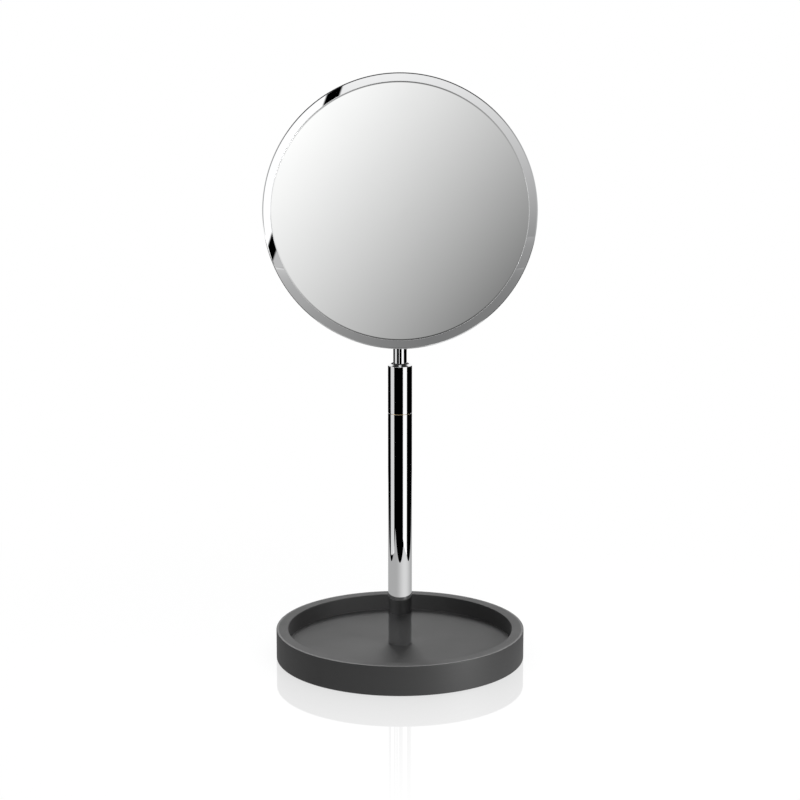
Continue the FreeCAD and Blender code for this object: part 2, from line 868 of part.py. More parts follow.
def make_back_shell():
    """The domed chrome pan behind the glass, with a flat land for the bracket."""
    sheet_gap = S.shell_sheet
    inner_dome = S.shell_dome_radius - sheet_gap
    inner_corner = S.shell_corner_round - sheet_gap
    lean = S.shell_dome_radius - S.shell_corner_round
    drop = dome_centre - corner_centre
    land_inside = S.shell_standoff + sheet_gap
    inner_land_radius = across(inner_dome, dome_centre - land_inside)
    body = turned("back_shell", [
        (0, S.shell_standoff),
        (S.shell_land_radius, S.shell_standoff, Bend(S.shell_dome_radius, LEFT)),
        (
            corner_radius_at * S.shell_dome_radius / lean,
            dome_centre - drop * S.shell_dome_radius / lean,
            Bend(S.shell_corner_round, LEFT),
        ),
        (shell_radius, corner_centre),
        (shell_radius, shell_front),
        (shell_radius - sheet_gap, shell_front),
        (shell_radius - sheet_gap, corner_centre, Bend(inner_corner, RIGHT)),
        (
            corner_radius_at * inner_dome / lean,
            dome_centre - drop * inner_dome / lean,
            Bend(inner_dome, RIGHT),
        ),
        (inner_land_radius, land_inside),
        (0, land_inside),
    ], head=True)
    hole = sketch_on(body, "XY_Plane", S.shell_standoff)
    circle(hole, S.bracket_screw_circle, 0, S.bracket_screw_radius + S.seat_gap)
    cut = add_pocket(body, hole, sheet_gap, reverse=True)
    repeat_around(body, cut, BRACKET_SCREWS)


def make_mounting_plate():
    """The tapped steel disc inside the pan that the bracket's screws pull against."""
    body = turned("mounting_plate", [
        (0, plate_back),
        (S.bracket_radius, plate_back),
        (S.bracket_radius, plate_front),
        (0, plate_front),
    ], head=True)
    hole = sketch_on(body, "XY_Plane", plate_back)
    circle(hole, S.bracket_screw_circle, 0, S.bracket_screw_radius + S.seat_gap)
    cut = add_pocket(body, hole, S.mounting_plate_thickness, reverse=True)
    repeat_around(body, cut, BRACKET_SCREWS)


def make_bracket_screws():
    """The screws through the bracket and the pan into the mounting plate."""
    head_front = bracket_back - S.seat_gap
    screws = []
    for number in range(BRACKET_SCREWS):
        angle = 2 * math.pi * number / BRACKET_SCREWS
        solids = []
        for part, radius, bottom, height in (
            (
                "head",
                S.bracket_screw_head_radius,
                head_front - S.bracket_screw_head_height,
                S.bracket_screw_head_height,
            ),
            ("shank", S.bracket_screw_radius, head_front, plate_front + S.bracket_screw_tip - head_front),
        ):
            solid = document.addObject("Part::Cylinder", f"bracket_screw_{part}_{number}")
            bind(solid, "Radius", radius)
            bind(solid, "Height", height)
            bind(solid, ".Placement.Base.x", S.bracket_screw_circle * round(math.cos(angle), 9))
            bind(solid, ".Placement.Base.y", S.bracket_screw_circle * round(math.sin(angle), 9))
            bind(solid, ".Placement.Base.z", bottom)
            solids.append(solid)
        screw = document.addObject("Part::Fuse", f"bracket_screw_{number}")
        screw.Base, screw.Tool = solids
        screws.append(screw)
    group = document.addObject("Part::Compound", "bracket_screws")
    group.Label = "bracket_screws"
    group.Links = screws
    put_on_head(group)
    pieces.append(group)


def make_bezel_ring():
    """The bevelled chrome ring that frames the glass and closes over the pan's rim."""
    skirt_inside = S.bezel_radius - S.bezel_sheet
    turned("bezel_ring", [
        (opening_radius, bezel_underside(opening_radius)),
        (opening_radius, head_front),
        (S.bezel_radius, head_front - S.bezel_bevel_drop),
        (S.bezel_radius, head_front - S.bezel_skirt_depth),
        (skirt_inside, head_front - S.bezel_skirt_depth),
        (skirt_inside, bezel_underside(skirt_inside)),
    ], head=True)


def make_mirror_glass():
    """The silvered glass, hollow in front so that it magnifies."""
    turned("mirror_glass", [
        (0, glass_back(AXIS), Bend(S.glass_curve_radius + S.glass_thickness, LEFT)),
        (glass_radius, glass_back(glass_radius)),
        (glass_radius, glass_front(glass_radius), Bend(S.glass_curve_radius, RIGHT)),
        (0, glass_front(AXIS)),
    ], head=True)


def make_glass_gasket():
    """The rubber strip between the bezel's lip and the front of the glass."""
    inner = opening_radius + S.gasket_setback
    outer = glass_radius - S.gasket_setback
    turned("glass_gasket", [
        (inner, glass_front(inner) + S.seat_gap),
        (outer, glass_front(outer) + S.seat_gap),
        (outer, bezel_underside(outer) - S.seat_gap),
        (inner, bezel_underside(inner) - S.seat_gap),
    ], head=True)


def make_glass_backing_ring():
    """The soft rubber ring that presses the glass forward against the gasket."""
    outer = corner_radius_at
    inner = outer - S.backing_width
    back_curve = S.shell_dome_radius - S.shell_sheet - S.seat_gap
    front_curve = S.glass_curve_radius + S.glass_thickness + S.seat_gap
    turned("glass_backing_ring", [
        (inner, dome_centre - across(back_curve, inner), Bend(back_curve, LEFT)),
        (outer, dome_centre - across(back_curve, outer)),
        (outer, glass_curve_centre - across(front_curve, outer), Bend(front_curve, RIGHT)),
        (inner, glass_curve_centre - across(front_curve, inner)),
    ], head=True)


# ---------------------------------------------------------------- the whole stand

for make in (
    make_base_tray,
    make_base_weight,
    make_non_slip_disc,
    make_base_screw,
    make_base_washer,
    make_foot_plug,
    make_lower_tube,
    make_tube_connector,
    make_clamp_collet,
    make_clamp_sleeve,
    make_wiper_ring,
    make_rod,
    make_rod_guide,
    make_rod_end_washer,
    make_rod_end_screw,
    make_rod_knuckle,
    make_friction_washers,
    make_hinge_bracket,
    make_pivot_screw,
    make_spring_washer,
    make_pivot_nut,
    make_back_shell,
    make_mounting_plate,
    make_bracket_screws,
    make_bezel_ring,
    make_mirror_glass,
    make_glass_gasket,
    make_glass_backing_ring,
):
    make()
document.recompute()

for thing in document.Objects:
    if "Invalid" in thing.State or "Error" in thing.State:
        raise RuntimeError(f"{thing.Name} failed: {thing.State}")
os.makedirs("parts", exist_ok=True)
for piece in pieces:
    if piece.Shape.isNull() or not piece.Shape.isValid():
        raise RuntimeError(f"{piece.Label} has no valid shape")
for piece in pieces:
    piece.Shape.exportStep(f"parts/{piece.Label}.step")
    box = piece.Shape.BoundBox
    print(
        f"{piece.Label:18s} {len(piece.Shape.Solids)} solid(s) {piece.Shape.Volume:10.1f} mm3"
        f"  x {box.XMin:7.2f} {box.XMax:7.2f}  y {box.YMin:7.2f} {box.YMax:7.2f}"
        f"  z {box.ZMin:7.2f} {box.ZMax:7.2f}"
    )
print(len(pieces), "pieces")
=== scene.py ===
# %% [markdown]
# # A round vanity mirror on a telescopic stem
#
# The construction of this mirror is already made: every tube, screw and sheet is a solid of its
# real size, and all of them are loaded below as a fixed frame. This lesson gives them their
# looks. It hangs a studio round the mirror, because polished metal has no colour of its own and
# only shows what stands about it, and then it mixes one finish after another: chrome, silvered
# glass, cast resin, steel, brass, nylon and rubber.
#
# Lengths are in metres, +Z is up, the stem is the Z axis and the glass looks towards -Y.

# %% Load the frame
import json
import math

import bmesh
import bpy
from mathutils import Matrix, Vector

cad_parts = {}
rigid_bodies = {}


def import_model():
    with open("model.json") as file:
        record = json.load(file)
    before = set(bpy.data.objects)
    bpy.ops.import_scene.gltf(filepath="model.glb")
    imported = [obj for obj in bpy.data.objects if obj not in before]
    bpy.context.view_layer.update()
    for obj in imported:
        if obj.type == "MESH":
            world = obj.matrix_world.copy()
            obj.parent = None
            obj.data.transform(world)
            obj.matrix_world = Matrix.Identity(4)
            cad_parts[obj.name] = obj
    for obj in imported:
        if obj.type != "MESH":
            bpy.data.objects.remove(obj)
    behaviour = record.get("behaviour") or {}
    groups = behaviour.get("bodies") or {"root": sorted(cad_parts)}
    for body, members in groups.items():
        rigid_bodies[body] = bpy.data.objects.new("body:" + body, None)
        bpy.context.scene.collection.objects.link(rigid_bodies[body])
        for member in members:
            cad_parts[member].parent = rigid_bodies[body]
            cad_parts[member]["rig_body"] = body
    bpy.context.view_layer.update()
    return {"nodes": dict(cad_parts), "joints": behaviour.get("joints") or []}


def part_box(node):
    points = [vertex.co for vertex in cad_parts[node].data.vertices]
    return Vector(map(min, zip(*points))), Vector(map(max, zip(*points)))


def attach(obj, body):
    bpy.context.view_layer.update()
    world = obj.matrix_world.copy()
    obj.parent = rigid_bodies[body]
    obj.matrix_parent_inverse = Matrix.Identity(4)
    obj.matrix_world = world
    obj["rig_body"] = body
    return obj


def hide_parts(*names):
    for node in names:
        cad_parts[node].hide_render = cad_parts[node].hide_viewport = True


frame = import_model()
scene = bpy.context.scene
scene.view_settings.view_transform = "Standard"

# %% [markdown]
# ## Measures that several steps share
#
# A place on the object is read from the frame rather than typed in, so that the looks follow the
# construction. The tray gives its radius and height, the tube and the sleeve give the stem's, and
# the bezel ring gives the size of the head.

# %% Measures from the frame
MM = 0.001


def size_of(node):
    """How long a node's box is along X, Y and Z."""
    low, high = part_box(node)
    return high - low


tray_radius = size_of("base_tray").x / 2
tray_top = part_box("base_tray")[1].z
stem_radius = size_of("lower_tube").x / 2
stem_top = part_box("clamp_sleeve")[1].z
bezel_radius = size_of("bezel_ring").x / 2
tilt_joint = next(joint for joint in frame["joints"] if joint["name"] == "head_tilt")
print(f"tray radius {tray_radius:.4f}, stem radius {stem_radius:.5f}, stem top {stem_top:.4f}")

# %% [markdown]
# ## The camera
#
# A tall thin thing is best looked at from well back through a long lens: the upright stem stays
# upright and the round tray is a calm ellipse. The camera stands a little above the mirror and
# looks down by twelve degrees. A constraint could aim it, but one angle says it more plainly.

# %% Camera
CAMERA_PLACE = Vector((0.0, -1.38464, 0.46453))
CAMERA_DOWN = math.radians(12.02)
CAMERA_LENS = 100.44
SENSOR_WIDTH = 36.0
CLIP_START = 0.01

camera = bpy.data.objects.new("camera", bpy.data.cameras.new("camera"))
camera.data.lens = CAMERA_LENS
camera.data.sensor_width = SENSOR_WIDTH
camera.data.clip_start = CLIP_START
camera.location = CAMERA_PLACE
camera.rotation_euler = (math.pi / 2 - CAMERA_DOWN, 0.0, 0.0)
scene.collection.objects.link(camera)
scene.camera = camera
print("camera distance to the stem's foot:", round(CAMERA_PLACE.length, 3))

# %% [markdown]
# ## A way to write shader maths
#
# A finish is a recipe of small sums: a grain times a depth, a mask that fades towards an edge.
# Blender keeps such sums as nodes and wires. The class Signal below is one wire. It can be
# added, taken away, multiplied and divided like a number, and each sum puts down its Math node.
# The nodes could be dragged and wired by hand instead, but a sum is easier to read as one line.


# %% Signals
class Signal:
    """One wire of a recipe. Sums of wires and numbers add Math nodes."""

    def __init__(self, recipe, socket):
        self.recipe = recipe
        self.socket = socket

    def sum(self, operation, first, second=0.0):
        return self.recipe.add("Math", {"operation": operation}, {0: first, 1: second})

    def __add__(self, other):
        return self.sum("ADD", self, other)

    def __radd__(self, other):
        return self.sum("ADD", other, self)

    def __sub__(self, other):
        return self.sum("SUBTRACT", self, other)

    def __rsub__(self, other):
        return self.sum("SUBTRACT", other, self)

    def __mul__(self, other):
        return self.sum("MULTIPLY", self, other)

    def __rmul__(self, other):
        return self.sum("MULTIPLY", other, self)

    def __truediv__(self, other):
        return self.sum("DIVIDE", self, other)

    def __pow__(self, other):
        return self.sum("POWER", self, other)

    def __abs__(self):
        return self.sum("ABSOLUTE", self)

    def at_least(self, other):
        return self.sum("MAXIMUM", self, other)

    def at_most(self, other):
        return self.sum("MINIMUM", self, other)

    def rising(self, start, end):
        """0 before start, 1 after end and a smooth step between; start may be the larger one."""
        spans = {"Value": self, "From Min": start, "From Max": end}
        return self.recipe.add("MapRange", {"interpolation_type": "SMOOTHSTEP"}, spans)


print("a signal has:", ", ".join(name for name, part in vars(Signal).items() if callable(part)))

# %% [markdown]
# ## Recipes
#
# A recipe holds the nodes of one material, one lamp or the world. Its method add puts down any
# node: it takes the node's type, then its settings, then the numbers and wires for its sockets,
# and gives back the wire that comes out. The other methods are short names for common nodes.


# %% Recipes
class Recipe:
    """The nodes of one material, lamp or world, and the one way to add a node to them."""

    def __init__(self, owner):
        owner.use_nodes = True
        self.tree = owner.node_tree
        self.tree.nodes.clear()

    def add(self, kind, settings=None, sockets=None, out=0):
        node = self.tree.nodes.new(f"ShaderNode{kind}")
        for name, value in (settings or {}).items():
            setattr(node, name, value)
        for name, value in (sockets or {}).items():
            if isinstance(value, Signal):
                self.tree.links.new(value.socket, node.inputs[name])
            else:
                node.inputs[name].default_value = value
        return Signal(self, node.outputs[out]) if len(node.outputs) else None

    def mixed(self, share, first, second):
        """A colour that goes from first to second as share goes from 0 to 1."""
        return self.add("Mix", {"data_type": "RGBA"}, {0: share, 6: first, 7: second}, out=2)

    def either(self, share, first, second):
        """One shader laid over another."""
        return self.add("MixShader", None, {0: share, 1: first, 2: second})

    def by_ray(self, seen_by_camera, seen_by_metal, seen_by_rest):
        """One shader for the camera's rays, one for rays off polished metal, one for the rest."""
        glossy = self.add("LightPath", out="Is Glossy Ray")
        from_camera = self.add("LightPath", out="Is Camera Ray")
        others = self.either(glossy, seen_by_rest, seen_by_metal)
        return self.either(from_camera, others, seen_by_camera)

    def apart(self, vector):
        """The three numbers of a vector."""
        return [self.add("SeparateXYZ", None, {0: vector}, out=axis) for axis in range(3)]

    def along(self, vector, direction):
        """How far a vector reaches along a direction."""
        dot = {"operation": "DOT_PRODUCT"}
        return self.add("VectorMath", dot, {0: vector, 1: direction}, out="Value")

    def end(self, shader, output="OutputMaterial"):
        """Wire a shader to the recipe's output."""
        self.add(output, None, {"Surface": shader})


def finish(name):
    """A new material with an empty recipe."""
    material = bpy.data.materials.new(name)
    return material, Recipe(material)


def plain(level):
    """A grey of one level, as a colour."""
    return (level, level, level, 1.0)


WHITE = plain(1.0)
print("white is", WHITE)

# %% [markdown]
# ## The room that the mirror sees
#
# The glass is slightly hollow, so it turns its picture of the room over: what is bright at the
# lower right of the room is bright at the upper left of the glass. The bevelled bezel looks
# outwards on every side instead, about 47 degrees off the mirror's own axis, and its rolled edges
# sweep round the rest.
#
# Walls and cards could be meshes, but from another side they would stand in the way. So the room
# is painted by direction. Near the mirror's axis it is a card that fades from lower right to
# upper left, and further out it is a wall that fades the other way. A softbox hangs on the left,
# with an upright strip of black cloth near its upper end and a slanted one near its lower end:
# they make the two black notches on the bezel. More than fifty degrees off the axis the room is
# dark above and below and half bright at the sides, which draws the bezel's outline, and behind
# the mirror it is white.

# %% Room for reflections
GLASS_LEVEL = 0.67
GLASS_SLOPE = 4.17
GLASS_LIGHT_FROM = math.radians(141)
WALL_LEVEL = 0.53
WALL_SLOPE = 0.59
WALL_LIGHT_FROM = math.radians(107)
CARD_EDGE = (math.cos(math.radians(7.5)), math.cos(math.radians(16)))
SOFTBOX_LEVEL = 1.15
SOFTBOX_SPAN = (119.0, 195.0)
SOFTBOX_SOFTNESS = 0.5
FULL_TURN = 360.0
BELOW_ZERO = (0.0, 0.001)
LEAST_FORWARD = 0.3
UPPER_CLOTH = (-0.594, -0.463)
UPPER_CLOTH_FOOT = (0.2, 0.3)
LOWER_CLOTH = (-0.681, -0.566)
LOWER_CLOTH_LEAN = (0.790, -0.613)
LOWER_CLOTH_HEAD = (0.0, -0.05)
LOWER_CLOTH_SIDE = (-0.6, -0.7)
CLOTH_SOFTNESS = 0.012
DARK_EDGE = (math.cos(math.radians(48.6)), math.cos(math.radians(51)))
DARK_LEVEL = 0.03
DARK_SIDES = 0.50
DARK_SIDES_SPAN = (0.58, 0.90)
DARK_SIDES_SHIFT = 0.05
BACK_EDGE = (math.cos(math.radians(118)), math.cos(math.radians(130)))
BACK_LEVEL = 1.02
BACK_SIDES = 0.45
BACK_SIDES_POWER = 3.0
GLASS_TILT = math.radians(7.2)

mirror_axis = Vector((0.0, -math.cos(GLASS_TILT), math.sin(GLASS_TILT)))
mirror_up = Vector((0.0, math.sin(GLASS_TILT), math.cos(GLASS_TILT)))


def room_for_reflections(recipe):
    """The room as polished metal sees it, by direction."""
    aim = recipe.add("TexCoord", out="Generated")
    side = recipe.along(aim, (1.0, 0.0, 0.0))
    rise = recipe.along(aim, mirror_up)
    ahead = recipe.along(aim, mirror_axis)

    def towards(angle):
        return side * math.cos(angle) + rise * math.sin(angle)

    card = GLASS_LEVEL - towards(GLASS_LIGHT_FROM) * GLASS_SLOPE
    wall = WALL_LEVEL + towards(WALL_LIGHT_FROM) * WALL_SLOPE
    on_wall = ahead.rising(*CARD_EDGE)
    room = card + on_wall * (wall - card)

    turn = recipe.add("Math", {"operation": "ARCTAN2"}, {0: rise, 1: side}) * math.degrees(1)
    turn = turn + (turn * -1.0).rising(*BELOW_ZERO) * FULL_TURN

    def between(reading, start, end, softness):
        after = reading.rising(start - softness, start + softness)
        return after * reading.rising(end + softness, end - softness) * on_wall

    softbox = between(turn, *SOFTBOX_SPAN, SOFTBOX_SOFTNESS)
    room = room + softbox * (SOFTBOX_LEVEL - room)
    forward = ahead.at_least(LEAST_FORWARD)
    sideways, upward = side / forward, rise / forward
    lean = sideways * LOWER_CLOTH_LEAN[0] + upward * LOWER_CLOTH_LEAN[1]
    upper = between(sideways, *UPPER_CLOTH, CLOTH_SOFTNESS) * upward.rising(*UPPER_CLOTH_FOOT)
    lower = between(lean, *LOWER_CLOTH, CLOTH_SOFTNESS) * upward.rising(*LOWER_CLOTH_HEAD)
    lower = lower * sideways.rising(*LOWER_CLOTH_SIDE)
    room = (room * (1.0 - upper) * (1.0 - lower)).at_least(0.0)

    beside = abs(side + DARK_SIDES_SHIFT).rising(*DARK_SIDES_SPAN) * DARK_SIDES + DARK_LEVEL
    room = room + ahead.rising(*DARK_EDGE) * (beside - room)
    behind = BACK_LEVEL - abs(side) ** BACK_SIDES_POWER * BACK_SIDES
    return room + ahead.rising(*BACK_EDGE) * (behind - room)


print("the mirror looks along", [round(part, 3) for part in mirror_axis])

# %% [markdown]
# ## Who sees which room
#
# Each ray knows where it comes from. The camera's own rays see plain white. Rays off polished
# metal see the room above. All others bring soft light to matt things, a little from every side
# and more from overhead. The room is a picture rather than a lamp, so the renderer is told not
# to aim at it.

# %% World
AMBIENT_LEVEL = 0.15
OVERHEAD_LEVEL = 1.30
OVERHEAD_POWER = 2.0

world = bpy.data.worlds.new("studio")
scene.world = world
world.cycles.sampling_method = "NONE"
sky = Recipe(world)


def backdrop(strength):
    """A world of one strength, or of a strength that changes with direction."""
    return sky.add("Background", None, {"Color": WHITE, "Strength": strength})


high = sky.along(sky.add("TexCoord", out="Generated"), (0.0, 0.0, 1.0)).at_least(0.0)
soft_light = high**OVERHEAD_POWER * OVERHEAD_LEVEL + AMBIENT_LEVEL
rooms = [backdrop(1.0), backdrop(room_for_reflections(sky)), backdrop(soft_light)]
sky.end(sky.by_ray(*rooms), "OutputWorld")
print("world nodes:", len(sky.tree.nodes))

# %% [markdown]
# ## The floor as polished metal sees it
#
# The mirror stands on a table. Chrome shows it as a table top with painted light: it glows,
# brighter towards the right in front, with black cloth laid round it as far as a metre and a pale
# floor beyond. The stem's black lines are that cloth. The lower left of the bezel looks down past
# the foot of the softbox and of the slanted cloth, so both are carried on over the far floor, along
# the line on which the bezel sees them.

# %% Floor for reflections
TABLE_HALF = 0.23
TABLE_BACK = 0.45
TABLE_LEVEL = 0.44
TABLE_GLOW = 0.30
TABLE_GLOW_FROM = math.radians(48)
TABLE_GLOW_POWER = 2.0
CLOTH_REACH = (1.16, 1.27)
LEFT_TO_RIGHT = (-0.6, 0.6)
RIGHT_TO_LEFT = (0.6, -0.6)
FAR_RIGHT_LEVEL = 0.265
FAR_RIGHT_SLOPE = 0.027
FAR_LEFT_LEVEL = 0.57
FAR_BACK_LEVEL = 0.80
FAR_BACK_SPAN = (-0.3, 1.2)
BEZEL_EYE = (-0.078, -0.030, 0.272)
LEAST_FROM_EYE = 0.1

floor_finish, paper = finish("white_table")
across, deep, _ = paper.apart(paper.add("TexCoord", out="Object"))
from_stem = (across * across + deep * deep) ** 0.5
towards_glow = across * math.sin(TABLE_GLOW_FROM) - deep * math.cos(TABLE_GLOW_FROM)
glow_share = (towards_glow / from_stem).at_least(0.0) ** TABLE_GLOW_POWER
# painted light: the table glows brighter towards the right in front, as if a lamp lit it there
table_tone = glow_share * TABLE_GLOW + TABLE_LEVEL
in_front = deep.rising(-TABLE_HALF - MM, -TABLE_HALF) * deep.rising(TABLE_BACK + MM, TABLE_BACK)
on_table = abs(across).rising(TABLE_HALF + MM, TABLE_HALF) * in_front

eye_x, eye_y, eye_z = BEZEL_EYE
sideways, backward = across - eye_x, deep - eye_y
ahead = (backward * mirror_axis.y - eye_z * mirror_axis.z).at_least(LEAST_FROM_EYE)
upward = backward * mirror_up.y - eye_z * mirror_up.z
lean = (sideways * LOWER_CLOTH_LEAN[0] + upward * LOWER_CLOTH_LEAN[1]) / ahead
low_edge, high_edge = LOWER_CLOTH
past_cloth = lean.rising(high_edge - CLOTH_SOFTNESS, high_edge + CLOTH_SOFTNESS)
on_softbox = lean.rising(low_edge + CLOTH_SOFTNESS, low_edge - CLOTH_SOFTNESS)
far_left = past_cloth * FAR_LEFT_LEVEL + on_softbox * SOFTBOX_LEVEL
far_right = from_stem * FAR_RIGHT_SLOPE + FAR_RIGHT_LEVEL
far_front = across.rising(*LEFT_TO_RIGHT) * far_right + across.rising(*RIGHT_TO_LEFT) * far_left
far_tone = far_front + deep.rising(*FAR_BACK_SPAN) * (FAR_BACK_LEVEL - far_front)
beyond = from_stem.rising(*CLOTH_REACH) * far_tone
lit_floor = beyond + on_table * (table_tone - beyond)
seen_by_metal = paper.add("Emission", None, {"Color": lit_floor, "Strength": 1.0})
print("floor nodes for metal:", len(paper.tree.nodes))

# %% [markdown]
# ## The floor as the camera sees it
#
# To the camera the table is paper white with a faint gloss. A lit white square is never as even
# as paper, so most of the white glows by itself. Near the foot some of the glow gives way to matt
# white, which takes the soft shadow, and some to a gloss, which takes a mirror image that fades
# away from the foot. Matt things get a grey floor, so that little light comes back up from it.

# %% Floor
FLOOR_REACH = 4.0
GLOSS_SHARE = 0.28
GLOSS_FADE = (0.30, 0.0)
GLOSS_ROUGHNESS = 0.03
SHADOW_SHARE = 0.12
SHADOW_FADE = (0.40, 0.15)
BOUNCE_LEVEL = 0.30

lit = paper.add("BsdfDiffuse", None, {"Color": WHITE})
glow = paper.add("Emission", None, {"Color": WHITE, "Strength": 1.0})
gloss = paper.add("BsdfGlossy", None, {"Color": WHITE, "Roughness": GLOSS_ROUGHNESS})
shaded = paper.either(from_stem.rising(*SHADOW_FADE) * SHADOW_SHARE, glow, lit)
seen_by_camera = paper.either(from_stem.rising(*GLOSS_FADE) * GLOSS_SHARE, shaded, gloss)
bounce = paper.add("BsdfDiffuse", None, {"Color": plain(BOUNCE_LEVEL)})
paper.end(paper.by_ray(seen_by_camera, seen_by_metal, bounce))

square = bpy.data.meshes.new("floor")
corners = [(-1, -1), (1, -1), (1, 1), (-1, 1)]
square.from_pydata([(x * FLOOR_REACH, y * FLOOR_REACH, 0) for x, y in corners], [], [(0, 1, 2, 3)])
square.materials.append(floor_finish)
floor = bpy.data.objects.new("floor", square)
scene.collection.objects.link(floor)
print("floor:", 2 * FLOOR_REACH, "metres wide,", len(paper.tree.nodes), "nodes")

# %% [markdown]
# ## Lamps that only polished metal sees
#
# A polished tube is a mirror bent round: each upright line of it shows one direction of the
# room. Two strip lights close to the stem give its crisp white lines between the black ones, with
# their lower ends cut at a slant, and a third, short one gives the slim rod its middle line.
# Glowing cards would do as much, but a lamp has one bright side and doesn't stop a ray. Each
# lamp here lights only what polished metal reflects from a set distance, so it leaves the other
# pieces alone.


# %% Strip lights
def panel_light(name, centre, facing, width, height, level, share_of):
    """A flat rectangular lamp whose surface is as bright as level times a share."""
    data = bpy.data.lights.new(name, "AREA")
    data.shape = "RECTANGLE"
    data.size = width
    data.size_y = height
    data.energy = math.pi * width * height * level
    lamp = bpy.data.objects.new(name, data)
    lamp.location = centre
    lamp.rotation_euler = (-Vector(facing)).to_track_quat("Z", "Y").to_euler()
    lamp.visible_camera = False
    lamp.visible_diffuse = False
    lamp.visible_transmission = False
    scene.collection.objects.link(lamp)
    recipe = Recipe(data)
    recipe.end(recipe.add("Emission", None, {"Strength": share_of(recipe)}), "OutputLight")
    print(f"{name}: {width / MM:.0f} by {height / MM:.0f} mm")


def within(recipe, nearest, farthest):
    """1 for rays that are between two lengths when they meet the lamp."""
    length = recipe.add("LightPath", out="Ray Length")
    return length.rising(nearest - MM, nearest) * length.rising(farthest + MM, farthest)


STRIP_DISTANCE = 0.055
STRIP_REACH = (0.040, 0.066)
STRIP_TOP = 0.2005
# From one angle to another, how high it ends at each of them, and how bright it is.
STRIPS = {
    "left_strip": (-93.6, -54.9, 0.0545, 0.0565, 0.76),
    "right_strip": (27.6, 64.5, 0.0665, 0.0545, 1.10),
    "middle_strip": (-15.0, -8.0, 0.1838, 0.1838, 0.90),
}

for name, (start, end, low_start, low_end, level) in STRIPS.items():
    middle = math.radians((start + end) / 2)
    width = 2 * STRIP_DISTANCE * math.tan(math.radians((end - start) / 2))
    outward = Vector((math.sin(middle), -math.cos(middle), 0.0))
    along_width = Vector((math.cos(middle), math.sin(middle), 0.0))
    bottom = min(low_start, low_end)
    centre = outward * STRIP_DISTANCE + Vector((0.0, 0.0, (STRIP_TOP + bottom) / 2))

    def above_slant(recipe):
        """1 where the strip is above its slanted end."""
        spot = recipe.add("NewGeometry", out="Position")
        share = recipe.along(spot, along_width) / width + 0.5
        end_height = share * (low_end - low_start) + low_start
        above = (recipe.apart(spot)[2] - end_height).rising(-MM / 2, MM / 2)
        return above * within(recipe, *STRIP_REACH)

    panel_light(name, centre, -outward, width, STRIP_TOP - bottom, level, above_slant)

# %% [markdown]
# ## A flat lamp under the head
#
# The lower half of the bezel looks down and forward. A wide flat lamp lies in its view, just
# below the head, and shines up. One level all over would leave the band dull there, so the lamp
# grows brighter towards the left, quickly at first and slowly further out, and only a little
# towards the right.

# %% Flat lamp
PANEL_NEAR = Vector((0.0, -0.044, 0.2035))
PANEL_SLOPE = math.radians(11)
PANEL_WIDTH = 1.10
PANEL_LENGTH = 0.52
PANEL_LEVEL = 0.224
PANEL_LEFT_SLOPE = 1.53
PANEL_LEFT_KNEE = 0.12
PANEL_LEFT_FAR_SLOPE = 0.55
PANEL_RIGHT_DIP = 0.02
PANEL_RIGHT_DIP_SLOPE = 0.9
PANEL_RIGHT_SLOPE = 0.22
PANEL_FADE = (0.54, 0.48)


def brighter_to_the_left(recipe):
    """How bright the flat lamp is from place to place."""
    across = recipe.apart(recipe.add("NewGeometry", out="Position"))[0]
    left = (across * -1.0).at_least(0.0)
    right = across.at_least(0.0)
    rise = (left * PANEL_LEFT_SLOPE).at_most(left * PANEL_LEFT_FAR_SLOPE + PANEL_LEFT_KNEE)
    dip = (right * PANEL_RIGHT_DIP_SLOPE).at_most(PANEL_RIGHT_DIP)
    return (rise - dip + right * PANEL_RIGHT_SLOPE + PANEL_LEVEL) * abs(across).rising(*PANEL_FADE)


panel_down = Vector((0.0, -math.cos(PANEL_SLOPE), -math.sin(PANEL_SLOPE)))
panel_centre = PANEL_NEAR + panel_down * PANEL_LENGTH / 2
panel_up = (0.0, -math.sin(PANEL_SLOPE), math.cos(PANEL_SLOPE))
panel_light(
    "panel_under_head",
    panel_centre,
    panel_up,
    PANEL_WIDTH,
    PANEL_LENGTH,
    1.0,
    brighter_to_the_left,
)

# %% [markdown]
# ## The key lamp
#
# One broad round lamp stands high on the right in front. It lights all that is matt and throws
# the soft shadow back and to the left. A sun would give a hard shadow, and polished metal would
# show any lamp as a white spot, so this one is wide and metal doesn't see it.

# %% Key lamp
KEY_AZIMUTH = math.radians(35)
KEY_ELEVATION = math.radians(58)
KEY_DISTANCE = 1.6
KEY_SIZE = 1.2
KEY_POWER = 9.0


def from_stem_towards(azimuth, elevation=0.0):
    """A direction from the stem: azimuth turns from the front towards the right."""
    flat = math.cos(elevation)
    return Vector((math.sin(azimuth) * flat, -math.cos(azimuth) * flat, math.sin(elevation)))


key = bpy.data.objects.new("key_lamp", bpy.data.lights.new("key_lamp", "AREA"))
key.data.shape = "DISK"
key.data.size = KEY_SIZE
key.data.energy = KEY_POWER
key_direction = from_stem_towards(KEY_AZIMUTH, KEY_ELEVATION)
key.location = key_direction * KEY_DISTANCE
key.rotation_euler = key_direction.to_track_quat("Z", "Y").to_euler()
key.visible_glossy = False
key.visible_camera = False
scene.collection.objects.link(key)
print("key lamp at", [round(part, 2) for part in key.location])

# %% [markdown]
# ## Softboxes for the tray
#
# Satin resin blurs what it reflects to broad patches, and those show its form better than any
# light that falls on it. A low softbox near the table's right corner shines along the tray's wall
# and shows how round that is. A side softbox looks over the rim at the inner face of the wall
# behind. A back softbox hangs high behind the mirror: the tray's floor shows it as a broad
# sheen, and the stem in front of it as the dark patch at its foot.

